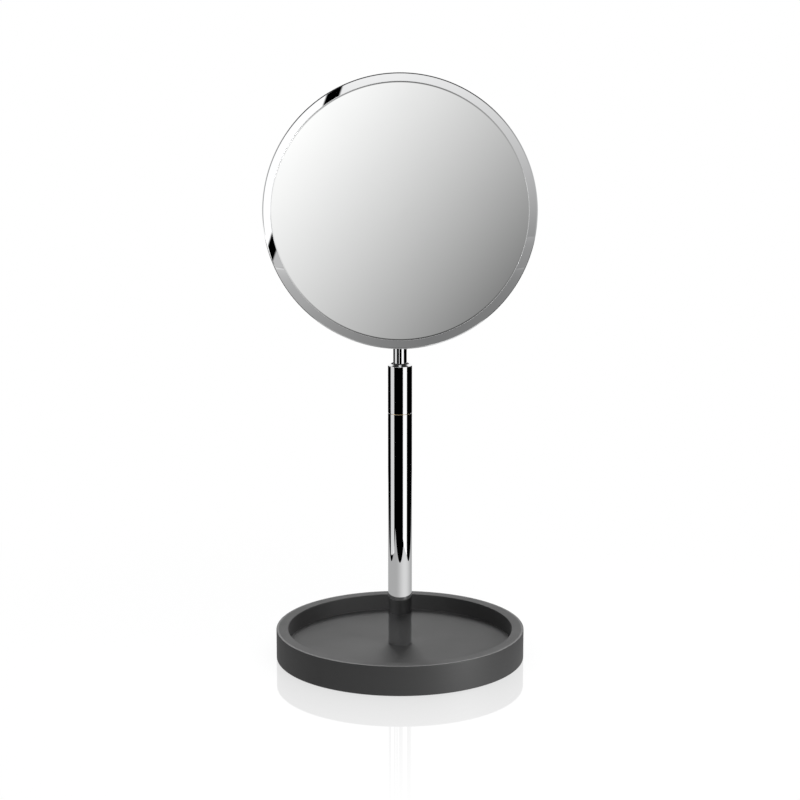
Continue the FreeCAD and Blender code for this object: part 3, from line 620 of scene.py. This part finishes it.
# %% Tray softboxes
LOW_DISTANCE = 0.32
LOW_HEIGHT = 0.095
LOW_CLEARANCE = 0.002
low_direction = from_stem_towards(math.radians(51))
low_place = low_direction * LOW_DISTANCE + Vector((0.0, 0.0, LOW_HEIGHT / 2 + LOW_CLEARANCE))
SIDE_PLACE = Vector((0.212, -0.117, 0.190))
SIDE_TARGET = Vector((-0.030, 0.065, 0.015))
BACK_DISTANCE = 1.0
back_direction = from_stem_towards(math.radians(180), math.radians(50))
back_place = back_direction * BACK_DISTANCE
# Where it is, where it faces, its width, height and level, and the rays that it lights.
SOFTBOXES = {
    "low_softbox": (low_place, -low_direction, 0.10, LOW_HEIGHT, 12.0, (0.05, 0.285)),
    "side_softbox": (SIDE_PLACE, SIDE_TARGET - SIDE_PLACE, 0.13, 0.13, 13.0, (0.31, 0.45)),
    "back_softbox": (back_place, -back_direction, 0.42, 0.42, 8.7, (0.90, 1.20)),
}

for name, (place, facing, width, height, level, reach) in SOFTBOXES.items():
    panel_light(name, place, facing, width, height, level, lambda recipe: within(recipe, *reach))

# %% [markdown]
# ## Finishes
#
# Each finish is one Principled shader. Its colour, roughness and small unevenness come from
# noise in the object's own space rather than from a wrapped image, so that the grain has the
# same size on every piece. Three helpers serve them all: principled ends a recipe, grain is
# the noise, and bumped makes a skin of a given depth from it.


# %% Helpers for finishes
def principled(recipe, sockets):
    """End a recipe with one Principled shader."""
    recipe.end(recipe.add("BsdfPrincipled", None, sockets))
    print("finish nodes:", len(recipe.tree.nodes))


def grain(recipe, size, detail=2.0, stretch=(1.0, 1.0, 1.0)):
    """Noise whose lumps are about size metres across, longer along an axis with a small stretch."""
    spot = recipe.add("TexCoord", out="Object")
    scaled = recipe.add("Mapping", None, {"Vector": spot, "Scale": stretch})
    return recipe.add("TexNoise", None, {"Vector": scaled, "Scale": 1.0 / size, "Detail": detail})


def bumped(recipe, height, depth):
    """A surface that rises by depth metres where height is 1."""
    return recipe.add("Bump", None, {"Height": height, "Distance": depth, "Strength": 1.0})


# %% [markdown]
# ## Polished chrome
#
# The tube, the sleeve, the rod, the hinge, the pan and the bezel ring are polished, nickelled and
# chromed. Chrome is a little bluer and darker than silver. It is nearly a perfect mirror, so the
# finish lives in what little disturbs it: a breath of haze where a cloth has wiped it and a
# roughness that is never quite zero.

# %% Chrome
CHROME_BRIGHT = (0.885, 0.889, 0.893, 1.0)
CHROME_HAZED = (0.862, 0.868, 0.875, 1.0)
CHROME_ROUGHNESS = 0.006
WIPE_ROUGHNESS = 0.022
WIPE_SIZE = 0.018
WIPE_DETAIL = 3.0
WIPE_STRETCH = (1.0, 1.0, 0.35)
WIPE_SPAN = (0.40, 0.72)

chrome, plating = finish("polished_chrome")
wiped = grain(plating, WIPE_SIZE, WIPE_DETAIL, WIPE_STRETCH).rising(*WIPE_SPAN)
principled(plating, {
    "Base Color": plating.mixed(wiped, CHROME_BRIGHT, CHROME_HAZED),
    "Metallic": 1.0,
    "Roughness": wiped * WIPE_ROUGHNESS + CHROME_ROUGHNESS,
})

# %% [markdown]
# ## Silvered glass
#
# A mirror is silver behind clear glass. From the front that is one bright, almost colourless
# reflection with a weaker one off the glass itself, so the finish is a silver metal under a clear
# coat, with the faintest smear in its roughness. At the very edge a hairline of painted shade
# darkens the silver's colour, strongest at the top and the bottom: it stands for the dark line
# under the bezel's lip.

# %% Silvered glass
SILVER_CLEAN = (0.915, 0.920, 0.915, 1.0)
SILVER_SMEARED = (0.905, 0.910, 0.906, 1.0)
# painted shade: the colour of the dark hairline at the glass's rim
PAINTED_RIM_SHADE_BLACK = (0.02, 0.02, 0.02, 1.0)
SMEAR_ROUGHNESS = 0.006
SMEAR_SIZE = 0.030
SMEAR_DETAIL = 3.0
SMEAR_STRETCH = (1.0, 0.4, 1.0)
SMEAR_SPAN = (0.45, 0.80)
EDGE_SHADE = 0.87
EDGE_SPAN = (0.0781, 0.0785)
CLEAR_COAT = 0.6

silvering, silver = finish("silvered_glass")
smear = grain(silver, SMEAR_SIZE, SMEAR_DETAIL, SMEAR_STRETCH).rising(*SMEAR_SPAN)
spot = silver.add("TexCoord", out="Object")
apart_from = {"operation": "SUBTRACT"}
from_pivot = silver.add("VectorMath", apart_from, {0: spot, 1: tilt_joint["pos_m"]}, out="Vector")
glass_side = silver.along(from_pivot, (1.0, 0.0, 0.0))
glass_rise = silver.along(from_pivot, mirror_up)
from_middle = (glass_side * glass_side + glass_rise * glass_rise) ** 0.5
upright = glass_rise / from_middle
# painted shade: the hairline at the rim is strongest at the top and the bottom of the glass
edge_shade = from_middle.rising(*EDGE_SPAN) * upright * upright * EDGE_SHADE
clean = silver.mixed(smear, SILVER_CLEAN, SILVER_SMEARED)
principled(silver, {
    "Base Color": silver.mixed(edge_shade, clean, PAINTED_RIM_SHADE_BLACK),
    "Metallic": 1.0,
    "Roughness": smear * SMEAR_ROUGHNESS,
    "Coat Weight": CLEAR_COAT,
    "Coat Roughness": 0.0,
})

# %% [markdown]
# ## The back of the glass
#
# Bare silver tarnishes, so its back is rolled over with grey paint, and the roller leaves a fine
# stipple. A noise and a shallow bump are enough for it, because it only shows when the head is
# taken apart.

# %% Backing paint
PAINT_DARK = (0.19, 0.20, 0.21, 1.0)
PAINT_LIGHT = (0.24, 0.25, 0.26, 1.0)
STIPPLE_SIZE = 0.0012
STIPPLE_DETAIL = 3.0
STIPPLE_DEPTH = 0.00003
PAINT_ROUGHNESS = 0.5
STIPPLE_ROUGHNESS = 0.2

backing_paint, paint = finish("mirror_backing_paint")
stipple = grain(paint, STIPPLE_SIZE, STIPPLE_DETAIL)
principled(paint, {
    "Base Color": paint.mixed(stipple, PAINT_DARK, PAINT_LIGHT),
    "Roughness": stipple * STIPPLE_ROUGHNESS + PAINT_ROUGHNESS,
    "Normal": bumped(paint, stipple, STIPPLE_DEPTH),
})

# %% [markdown]
# ## Black resin
#
# The tray is cast in a resin coloured right through, with a satin skin: a very fine orange peel
# that blurs reflections but keeps the broad ones. The outer wall comes off the polished half of the
# mould and hands rub it, so it is a little smoother. Its colour is painted a shade greyer than the
# rim and the inside, as painted light that stands for the light the wall catches. The rim and the
# inside are rougher and blacker. One mask by the distance from the stem parts the two.

# %% Resin
# painted light: the outer wall's tones are lighter than the inside's, standing for the light it
# catches
WALL_TONES_PAINTED_LIGHTER = ((0.021, 0.021, 0.0214, 1.0), (0.026, 0.026, 0.0265, 1.0))
INSIDE_TONES = ((0.010, 0.010, 0.0102, 1.0), (0.013, 0.013, 0.0132, 1.0))
WALL_ROUGHNESS = 0.54
INSIDE_ROUGHNESS = 0.72
WALL_EDGE = (tray_radius - 2 * MM, tray_radius - MM)
RESIN_SHINE = 0.92
PEEL_SIZE = 0.0007
PEEL_DETAIL = 3.0
PEEL_DEPTH = 0.000012
CLOUD_SIZE = 0.020
CLOUD_SHARE = 0.7
CLOUD_ROUGHNESS = 0.08
CLOUD_MIDDLE = 0.5

resin, casting = finish("black_resin")
peel = grain(casting, PEEL_SIZE, PEEL_DETAIL)
cloud = grain(casting, CLOUD_SIZE)
across, deep, _ = casting.apart(casting.add("TexCoord", out="Object"))
on_wall = ((across * across + deep * deep) ** 0.5).rising(*WALL_EDGE)
clouds = cloud * CLOUD_SHARE + peel * (1.0 - CLOUD_SHARE)
inside_tone = casting.mixed(clouds, *INSIDE_TONES)
# painted light: the outer wall takes the lighter tones
wall_tone_painted_lighter = casting.mixed(clouds, *WALL_TONES_PAINTED_LIGHTER)
smoother = on_wall * (WALL_ROUGHNESS - INSIDE_ROUGHNESS)
principled(casting, {
    "Base Color": casting.mixed(on_wall, inside_tone, wall_tone_painted_lighter),
    "Roughness": smoother + (cloud - CLOUD_MIDDLE) * CLOUD_ROUGHNESS + INSIDE_ROUGHNESS,
    "Specular IOR Level": RESIN_SHINE,
    "Normal": bumped(casting, peel, PEEL_DEPTH),
})

# %% [markdown]
# ## The metals inside and at the hinge
#
# The weight, screws and washers are plain steel with the rings that a turning tool leaves. The
# nipple in the tube and the plug in its foot are brass, turned the same way. Both are made by
# one helper: the rings are a wave across the distance from the stem's axis.

# %% Steel and brass
SKIN_SIZE = 0.004
SKIN_DETAIL = 3.0
SKIN_ROUGHNESS = 0.14
RING_SHARE = 0.5
RING_DEPTH = 0.000004


def tooled_metal(name, bright, dull, roughness, ring_pitch):
    """A metal with fine turned rings about the stem and a cloudy skin."""
    material, recipe = finish(name)
    across, deep, high = recipe.apart(recipe.add("TexCoord", out="Object"))
    from_axis = (across * across + deep * deep) ** 0.5
    turned_by = (from_axis + high) * (math.tau / ring_pitch)
    wave = recipe.add("Math", {"operation": "SINE"}, {0: turned_by})
    skin = grain(recipe, SKIN_SIZE, SKIN_DETAIL)
    principled(recipe, {
        "Base Color": recipe.mixed(skin, bright, dull),
        "Metallic": 1.0,
        "Roughness": skin * SKIN_ROUGHNESS + roughness,
        "Normal": bumped(recipe, wave * RING_SHARE + skin, RING_DEPTH),
    })
    return material


steel = tooled_metal(
    "plain_steel",
    bright=(0.56, 0.57, 0.58, 1.0),
    dull=(0.45, 0.46, 0.47, 1.0),
    roughness=0.26,
    ring_pitch=0.0006,
)
brass = tooled_metal(
    "turned_brass",
    bright=(0.80, 0.60, 0.30, 1.0),
    dull=(0.68, 0.49, 0.22, 1.0),
    roughness=0.22,
    ring_pitch=0.0005,
)

# %% [markdown]
# ## Nylon and rubber
#
# The collet, the guide on the rod's foot and the friction washers are black nylon, moulded, with
# a faint waxy shine, and so is the thin lip round the sleeve's mouth. The non-slip disc, the wiper
# ring and the gasket are matt black rubber, and the ring behind the glass is a soft grey one.
# One helper moulds them all: they differ in colour, shine and pore size.

# %% Nylon and rubber
PORE_DETAIL = 4.0
PORE_SHARE = 0.5
BLOOM_SIZE = 0.009
BLOOM_ROUGHNESS = 0.16


def moulded(name, dark, light, roughness, pore, depth, shine=0.5):
    """A moulded plastic or rubber with pores of one size and a cloudy bloom."""
    material, recipe = finish(name)
    pores = grain(recipe, pore, PORE_DETAIL)
    bloom = grain(recipe, BLOOM_SIZE)
    principled(recipe, {
        "Base Color": recipe.mixed(pores * PORE_SHARE + bloom * (1.0 - PORE_SHARE), dark, light),
        "Roughness": bloom * BLOOM_ROUGHNESS + roughness,
        "Specular IOR Level": shine,
        "Normal": bumped(recipe, pores, depth),
    })
    return material


nylon = moulded(
    "black_nylon",
    dark=plain(0.008),
    light=plain(0.018),
    roughness=0.46,
    pore=0.0009,
    depth=0.00001,
    shine=0.2,
)
black_rubber = moulded(
    "black_rubber",
    dark=plain(0.020),
    light=(0.038, 0.038, 0.037, 1.0),
    roughness=0.66,
    pore=0.0005,
    depth=0.00003,
)
grey_rubber = moulded(
    "grey_rubber",
    dark=(0.24, 0.24, 0.235, 1.0),
    light=(0.31, 0.31, 0.30, 1.0),
    roughness=0.62,
    pore=0.0008,
    depth=0.00003,
)
print("materials:", len(bpy.data.materials))

# %% [markdown]
# ## A turning lathe for the round pieces
#
# Nearly every piece of this mirror is made by turning or spinning: the tube and the rod on a
# lathe, the pan and the bezel from sheet pressed over a spinning form. So one helper does the
# same here. It takes half of the cross section, as corners of radius and height in millimetres,
# and turns it round the axis. Primitives with a bevel on top would do for the tube, but a curved
# mirror shows every flat, so the turned meshes are fine and a corner can carry its own round.

# %% Lathe
ROUND_STEPS = 6
SHARP_ANGLE = math.radians(32)
ON_AXIS = 1e-6


def rounded(outline):
    """The outline's corners in order, where (radius, height, round) becomes a small arc."""
    corners = [Vector(corner[:2]) for corner in outline]
    points = []
    for index, corner in enumerate(outline):
        here = corners[index]
        if len(corner) == 2:
            points.append(here)
            continue
        back = (corners[index - 1] - here).normalized()
        ahead = (corners[(index + 1) % len(corners)] - here).normalized()
        half = back.angle(ahead) / 2
        centre = here + (back + ahead).normalized() * corner[2] / math.sin(half)
        run = corner[2] / math.tan(half)
        start, end = here + back * run - centre, here + ahead * run - centre
        spokes = [start.slerp(end, step / ROUND_STEPS) for step in range(ROUND_STEPS + 1)]
        points += [centre + spoke * corner[2] for spoke in spokes]
    return points


def bowl(start, end, centre, curve, steps):
    """Corners along an arc about a centre on the axis, from one radius to another."""
    radii = [start + (end - start) * step / steps for step in range(steps + 1)]
    return [(radius, centre - math.sqrt(curve * curve - radius * radius)) for radius in radii]


def turned(name, outline, place, finishes, sides, second_finish=None):
    """Turn a cross section round the axis and put it in its place. second_finish picks the rows
    of faces that take the second of two finishes."""
    shape = bmesh.new()
    rows = []
    for radius, height in rounded(outline):
        turns = [0.0] if radius < ON_AXIS else [math.tau * step / sides for step in range(sides)]
        round_axis = [(radius * math.cos(turn), radius * math.sin(turn)) for turn in turns]
        rows.append([shape.verts.new((x * MM, y * MM, height * MM)) for x, y in round_axis])
    closed = len(rows[0]) > 1 or len(rows[-1]) > 1
    for index in range(len(rows) if closed else len(rows) - 1):
        inner, outer = rows[index], rows[(index + 1) % len(rows)]
        for step in range(sides):
            after = (step + 1) % sides
            around = [
                inner[step % len(inner)],
                inner[after % len(inner)],
                outer[after % len(outer)],
                outer[step % len(outer)],
            ]
            face = shape.faces.new(list(dict.fromkeys(around)))
            face.smooth = True
            face.material_index = 1 if second_finish and second_finish(index) else 0
    bmesh.ops.recalc_face_normals(shape, faces=shape.faces)
    mesh = bpy.data.meshes.new(name)
    shape.to_mesh(mesh)
    shape.free()
    mesh.transform(place)
    mesh.set_sharp_from_angle(angle=SHARP_ANGLE)
    for material in finishes:
        mesh.materials.append(material)
    piece = bpy.data.objects.new(name, mesh)
    scene.collection.objects.link(piece)
    evened = piece.modifiers.new("even_shading", "WEIGHTED_NORMAL")
    evened.keep_sharp = True
    return piece


print("a rounded corner is an arc of", ROUND_STEPS, "steps")

# %% [markdown]
# ## In the place of a plain solid
#
# A turned piece takes the place of the solid that it dresses. It hangs on the same body, so that it
# goes along when the rod slides or the head tilts, and the solid is hidden. The helper also
# measures how far the piece reaches out of that solid's box, which should be nothing.


# %% Stand for a node
def stands_for(piece, node):
    """Hang a piece on the body of the node that it replaces, and hide the node."""
    held = frame["nodes"][node]
    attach(piece, held["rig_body"])
    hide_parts(node)
    low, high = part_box(node)
    corners = [piece.matrix_world @ vertex.co for vertex in piece.data.vertices]
    strays = [
        max(low[axis] - min(corner[axis] for corner in corners),
            max(corner[axis] for corner in corners) - high[axis])
        for axis in range(3)
    ]
    print(f"{piece.name}: {len(corners)} points, {max(strays) / MM:.2f} mm outside {node}")


stem_place = Matrix.Identity(4)
head_lean = Matrix.Rotation(math.radians(90) - GLASS_TILT, 4, "X")
head_place = Matrix.Translation(tilt_joint["pos_m"]) @ head_lean
print("head turned about", [round(part, 4) for part in tilt_joint["pos_m"]])


# %% [markdown]
# ## The tray
#
# The foot is a round tray of cast black resin with a flat floor, an upright wall and a broad flat
# rim, for rings and hairpins. A casting leaves its mould with every edge slightly broken, and
# those small rounds catch the thin lines of light that draw the rim. There is a soft fillet where
# the wall meets the floor, and below it is hollow for the weight.

# %% Tray
TRAY_RADIUS = tray_radius / MM
TRAY_INSIDE = 72.3
TRAY_RECESS = 68.3
TRAY_TOP = tray_top / MM
TRAY_FLOOR = 9.0
TRAY_FOOT = 0.4
RECESS_TOP = 6.0
SEAT_RADIUS = 7.68
SEAT_BOTTOM = 8.0
SCREW_HOLE = 2.8
EDGE_ROUND = 0.5
CORNER_ROUND = 0.15

tray = turned(
    "turned_tray",
    [
        (SCREW_HOLE, RECESS_TOP),
        (TRAY_RECESS, RECESS_TOP),
        (TRAY_RECESS, TRAY_FOOT),
        (TRAY_RADIUS, TRAY_FOOT, EDGE_ROUND),
        (TRAY_RADIUS, TRAY_TOP, EDGE_ROUND),
        (TRAY_INSIDE, TRAY_TOP, EDGE_ROUND),
        (TRAY_INSIDE, TRAY_FLOOR, CORNER_ROUND),
        (SEAT_RADIUS, TRAY_FLOOR),
        (SEAT_RADIUS, SEAT_BOTTOM),
        (SCREW_HOLE, SEAT_BOTTOM),
    ],
    stem_place,
    [resin],
    sides=288,
)
stands_for(tray, "base_tray")

# %% [markdown]
# ## The non-slip disc
#
# Nobody sees the rubber disc until the mirror is lifted. It is moulded with low round ribs,
# because ribs grip better than a flat sheet and let no suction build up. They are turned with
# the rest: the underside goes up and down as its radius grows.

# %% Non-slip disc
DISC_RADIUS = size_of("non_slip_disc").x / 2 / MM
DISC_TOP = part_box("non_slip_disc")[1].z / MM
RIB_PITCH = 4.0
RIB_WIDTH = 2.4
RIB_DEPTH = 0.4
RIB_ROUND = 0.15

underside = []
inner = RIB_PITCH
while inner + RIB_PITCH < DISC_RADIUS:
    underside += [
        (inner, 0.0, RIB_ROUND),
        (inner + RIB_WIDTH, 0.0, RIB_ROUND),
        (inner + RIB_WIDTH, RIB_DEPTH, RIB_ROUND),
        (inner + RIB_PITCH, RIB_DEPTH, RIB_ROUND),
    ]
    inner += RIB_PITCH
disc = turned(
    "ribbed_non_slip_disc",
    [
        (0.0, RIB_DEPTH),
        (RIB_PITCH, RIB_DEPTH, RIB_ROUND),
        *underside,
        (inner, 0.0, RIB_ROUND),
        (DISC_RADIUS, 0.0, RIB_ROUND),
        (DISC_RADIUS, DISC_TOP),
        (0.0, DISC_TOP),
    ],
    stem_place,
    [black_rubber],
    sides=144,
)
stands_for(disc, "non_slip_disc")

# %% [markdown]
# ## The stem
#
# The lower tube, the clamp sleeve on top of it and the slim rod that slides in both are polished
# and plated. A tube shows its flats as jagged edges along the black and white lines, so these
# three have many sides. The tube and the sleeve meet in a hairline with both edges just broken.

# %% Tube
STEM_SIDES = 160
TUBE_RADIUS = stem_radius / MM
TUBE_INSIDE = 6.63
TUBE_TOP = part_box("lower_tube")[1].z / MM
HAIRLINE_ROUND = 0.04

tube = turned(
    "turned_lower_tube",
    [
        (TUBE_INSIDE, SEAT_BOTTOM),
        (TUBE_RADIUS, SEAT_BOTTOM),
        (TUBE_RADIUS, TUBE_TOP, HAIRLINE_ROUND),
        (TUBE_INSIDE, TUBE_TOP),
    ],
    stem_place,
    [chrome],
    sides=STEM_SIDES,
)
stands_for(tube, "lower_tube")

# %% [markdown]
# ## The clamp sleeve
#
# The sleeve screws on to the tube and squeezes the collet round the rod: its bore has a cone for
# the collet and a groove for the wiper ring. Its shoulder is chamfered, and inside the chamfer a
# flatter black lip lines the mouth. The lip could be a piece of its own, but it is one row of
# faces, so it is turned with the sleeve and takes the second finish.

# %% Clamp sleeve
SLEEVE_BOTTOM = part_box("clamp_sleeve")[0].z / MM
SLEEVE_TOP = stem_top / MM
SHOULDER_DROP = 1.5
SHOULDER_WIDTH = 1.9
LIP_DROP = 0.5
SHOULDER_ROUND = 0.15
THROAT_RADIUS = 4.6
THROAT_LENGTH = 3.4
WIPER_RADIUS = 5.6
WIPER_HEIGHT = 1.2
WIPER_TOP = SLEEVE_TOP - (THROAT_LENGTH - WIPER_HEIGHT) / 2
CONE_RADIUS = 5.9
CONE_LENGTH = 3.6
SLEEVE_BORE = 6.25
COLLET_TOP = SLEEVE_TOP - THROAT_LENGTH
CORNERS_BELOW_LIP = 3
LIP_ROW = CORNERS_BELOW_LIP * (ROUND_STEPS + 1) - 1

sleeve = turned(
    "turned_clamp_sleeve",
    [
        (TUBE_RADIUS, SLEEVE_BOTTOM, HAIRLINE_ROUND),
        (TUBE_RADIUS, SLEEVE_TOP - SHOULDER_DROP, SHOULDER_ROUND),
        (TUBE_RADIUS - SHOULDER_WIDTH, SLEEVE_TOP - LIP_DROP, HAIRLINE_ROUND),
        (THROAT_RADIUS, SLEEVE_TOP, HAIRLINE_ROUND),
        (THROAT_RADIUS, WIPER_TOP),
        (WIPER_RADIUS, WIPER_TOP),
        (WIPER_RADIUS, WIPER_TOP - WIPER_HEIGHT),
        (THROAT_RADIUS, WIPER_TOP - WIPER_HEIGHT),
        (THROAT_RADIUS, COLLET_TOP),
        (CONE_RADIUS, COLLET_TOP - CONE_LENGTH),
        (SLEEVE_BORE, COLLET_TOP - CONE_LENGTH),
        (SLEEVE_BORE, SLEEVE_BOTTOM),
    ],
    stem_place,
    [chrome, nylon],
    sides=STEM_SIDES,
    second_finish=lambda row: row == LIP_ROW,
)
stands_for(sleeve, "clamp_sleeve")

# %% [markdown]
# ## The rod
#
# The rod slides in the sleeve and turns with the mirror. Both of its ends are turned down: the
# foot sits in the guide and has a bore for the end screw, and the tip sits in the knuckle of the
# tilt joint.

# %% Rod
ROD_RADIUS = size_of("rod").x / 2 / MM
ROD_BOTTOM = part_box("rod")[0].z / MM
ROD_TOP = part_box("rod")[1].z / MM
JOURNAL_RADIUS = 3.0
JOURNAL_LENGTH = 10.1
TIP_LENGTH = 8.02
SCREW_BORE = 1.52
SCREW_DEPTH = 8.02

rod = turned(
    "turned_rod",
    [
        (0.0, ROD_BOTTOM + SCREW_DEPTH),
        (SCREW_BORE, ROD_BOTTOM + SCREW_DEPTH),
        (SCREW_BORE, ROD_BOTTOM),
        (JOURNAL_RADIUS, ROD_BOTTOM),
        (JOURNAL_RADIUS, ROD_BOTTOM + JOURNAL_LENGTH),
        (ROD_RADIUS, ROD_BOTTOM + JOURNAL_LENGTH),
        (ROD_RADIUS, ROD_TOP - TIP_LENGTH),
        (JOURNAL_RADIUS, ROD_TOP - TIP_LENGTH),
        (JOURNAL_RADIUS, ROD_TOP),
        (0.0, ROD_TOP),
    ],
    stem_place,
    [chrome],
    sides=STEM_SIDES,
)
stands_for(rod, "rod")

# %% [markdown]
# ## The mirror head
#
# Three turned pieces make the head: a pan behind, a bezel ring in front and the glass between
# them. They close on one another, so the measures that they share come first: where the pan
# bends, where the bezel's front is, and how high its slanting underside is. Heights run along
# the mirror's own axis, from the tilt pivot towards the glass.

# %% Measures of the head
PAN_CURVE = 480.0
PAN_CENTRE = 493.583
PAN_BEND = 4.0
PAN_RADIUS = 83.48
BEND_RADIUS = PAN_RADIUS - PAN_BEND
BEND_CENTRE = PAN_CENTRE - math.sqrt((PAN_CURVE - PAN_BEND) ** 2 - BEND_RADIUS**2)
FRONT_OF_BEND = 3.73
HEAD_FRONT = BEND_CENTRE + FRONT_OF_BEND
BAND_WIDTH = 5.55
BAND_DROP = 2.2
BEZEL_RADIUS = bezel_radius / MM
BEZEL_SHEET = 0.9
OPENING_RADIUS = BEZEL_RADIUS - BAND_WIDTH


def under_band(radius):
    """How high the bezel's underside is at a radius."""
    return HEAD_FRONT - BEZEL_SHEET - BAND_DROP / BAND_WIDTH * (radius - OPENING_RADIUS)


print(f"bezel front {HEAD_FRONT:.2f} mm from the pivot, opening radius {OPENING_RADIUS:.2f} mm")

# %% [markdown]
# ## The pan
#
# The pan is sheet, spun to a shallow dome with a flat land in the middle for the bracket and a
# tight bend at the rim. A sphere cut off would lack both, so its section is drawn: the dome and
# the bend outside, then the same again one sheet further in.

# %% Pan
LAND_HEIGHT = 14.0
LAND_RADIUS = 20.0
PAN_SHEET = 0.9
SEAT_GAP = 0.02
BEND_STEPS = 12
DOME_STEPS = 24


def pan_side(bend):
    """The pan's bend and wall, outside or inside, and the radius where the dome ends."""
    lean = math.atan2(BEND_RADIUS, PAN_CENTRE - BEND_CENTRE)
    turns = [lean + (math.pi / 2 - lean) * step / BEND_STEPS for step in range(BEND_STEPS + 1)]
    arc = [(BEND_RADIUS + bend * math.sin(t), BEND_CENTRE - bend * math.cos(t)) for t in turns]
    wall = arc[-1][0]
    return [*arc, (wall, under_band(PAN_RADIUS) - SEAT_GAP)], arc[0][0]


outside, dome_edge = pan_side(PAN_BEND)
inside, inner_edge = pan_side(PAN_BEND - PAN_SHEET)
inner_curve = PAN_CURVE - PAN_SHEET
inner_land = math.sqrt(inner_curve**2 - (PAN_CENTRE - LAND_HEIGHT - PAN_SHEET) ** 2)
pan = turned(
    "spun_back_pan",
    [(0.0, LAND_HEIGHT)]
    + bowl(LAND_RADIUS, dome_edge, PAN_CENTRE, PAN_CURVE, DOME_STEPS)[:-1]
    + outside
    + list(reversed(inside))
    + bowl(inner_edge, inner_land, PAN_CENTRE, inner_curve, DOME_STEPS)[1:]
    + [(0.0, LAND_HEIGHT + PAN_SHEET)],
    head_place,
    [chrome],
    sides=256,
)
stands_for(pan, "back_shell")

# %% [markdown]
# ## The bezel ring
#
# The bezel ring has a bevelled band in front and closes over the pan with a short skirt. Pressed
# sheet is never quite flat or sharp. So the band bulges by a hair, and its outer edge is rolled a
# good deal more than the inner one: the rolls draw the fine lines on both sides of the band.

# %% Bezel ring
SKIRT_DEPTH = 4.6
OUTER_ROLL = 1.0
INNER_ROLL = 0.15
BAND_BULGE = 0.024
BULGE_STEPS = 8
BULGE_START = 0.06
BULGE_LENGTH = 0.78
band_slope = math.atan2(BAND_DROP, BAND_WIDTH)


def on_band(step):
    """A corner on the band, which bulges a little between its two edges."""
    share = BULGE_START + BULGE_LENGTH * step / BULGE_STEPS
    rise = BAND_BULGE * 4 * share * (1 - share)
    radius = OPENING_RADIUS + BAND_WIDTH * share + rise * math.sin(band_slope)
    return radius, HEAD_FRONT - BAND_DROP * share + rise * math.cos(band_slope)


skirt_inside = BEZEL_RADIUS - BEZEL_SHEET
bezel = turned(
    "rolled_bezel_ring",
    [
        (OPENING_RADIUS, under_band(OPENING_RADIUS)),
        (OPENING_RADIUS, HEAD_FRONT, INNER_ROLL),
        *[on_band(step) for step in range(BULGE_STEPS + 1)],
        (BEZEL_RADIUS, HEAD_FRONT - BAND_DROP, OUTER_ROLL),
        (BEZEL_RADIUS, HEAD_FRONT - SKIRT_DEPTH),
        (skirt_inside, HEAD_FRONT - SKIRT_DEPTH),
        (skirt_inside, under_band(skirt_inside)),
    ],
    head_place,
    [chrome],
    sides=320,
)
stands_for(bezel, "bezel_ring")

# %% [markdown]
# ## The glass
#
# The glass sits between the two, three millimetres thick and hollow in front so that it
# magnifies. It reaches a little way under the bezel, with the gasket between. Its section starts
# with the back, and those rows of faces take the grey paint.

# %% Mirror glass
GLASS_LAP = 2.55
GLASS_THICKNESS = 3.0
GLASS_CURVE = 1000.0
GASKET = 0.5
GLASS_STEPS = 24
GLASS_RADIUS = OPENING_RADIUS + GLASS_LAP
glass_edge = under_band(GLASS_RADIUS) - GASKET
glass_centre = glass_edge + math.sqrt(GLASS_CURVE**2 - GLASS_RADIUS**2)
glass = turned(
    "silvered_glass_disc",
    bowl(0.0, GLASS_RADIUS, glass_centre, GLASS_CURVE + GLASS_THICKNESS, GLASS_STEPS)
    + bowl(GLASS_RADIUS, 0.0, glass_centre, GLASS_CURVE, GLASS_STEPS),
    head_place,
    [silvering, backing_paint],
    sides=256,
    second_finish=lambda row: row < GLASS_STEPS,
)
stands_for(glass, "mirror_glass")

# %% [markdown]
# ## Finishes for the pieces that stay as they are
#
# The screws, washers, bearings and the hinge keep the shape that the construction gave them.
# Each one is dressed by the material slot that it carries.

# %% Dress the construction
FINISH_OF_SLOT = {
    "chrome_polished": chrome,
    "mirror_silvered": silvering,
    "resin_black": resin,
    "steel_plain": steel,
    "brass_turned": brass,
    "nylon_black": nylon,
    "rubber_black": black_rubber,
    "rubber_grey": grey_rubber,
}
for name, node in frame["nodes"].items():
    slot = node.data.materials[0].name
    for material_slot in node.material_slots:
        material_slot.material = FINISH_OF_SLOT[slot]
    print(f"{name}: {slot}")

# %% [markdown]
# ## End of the lesson
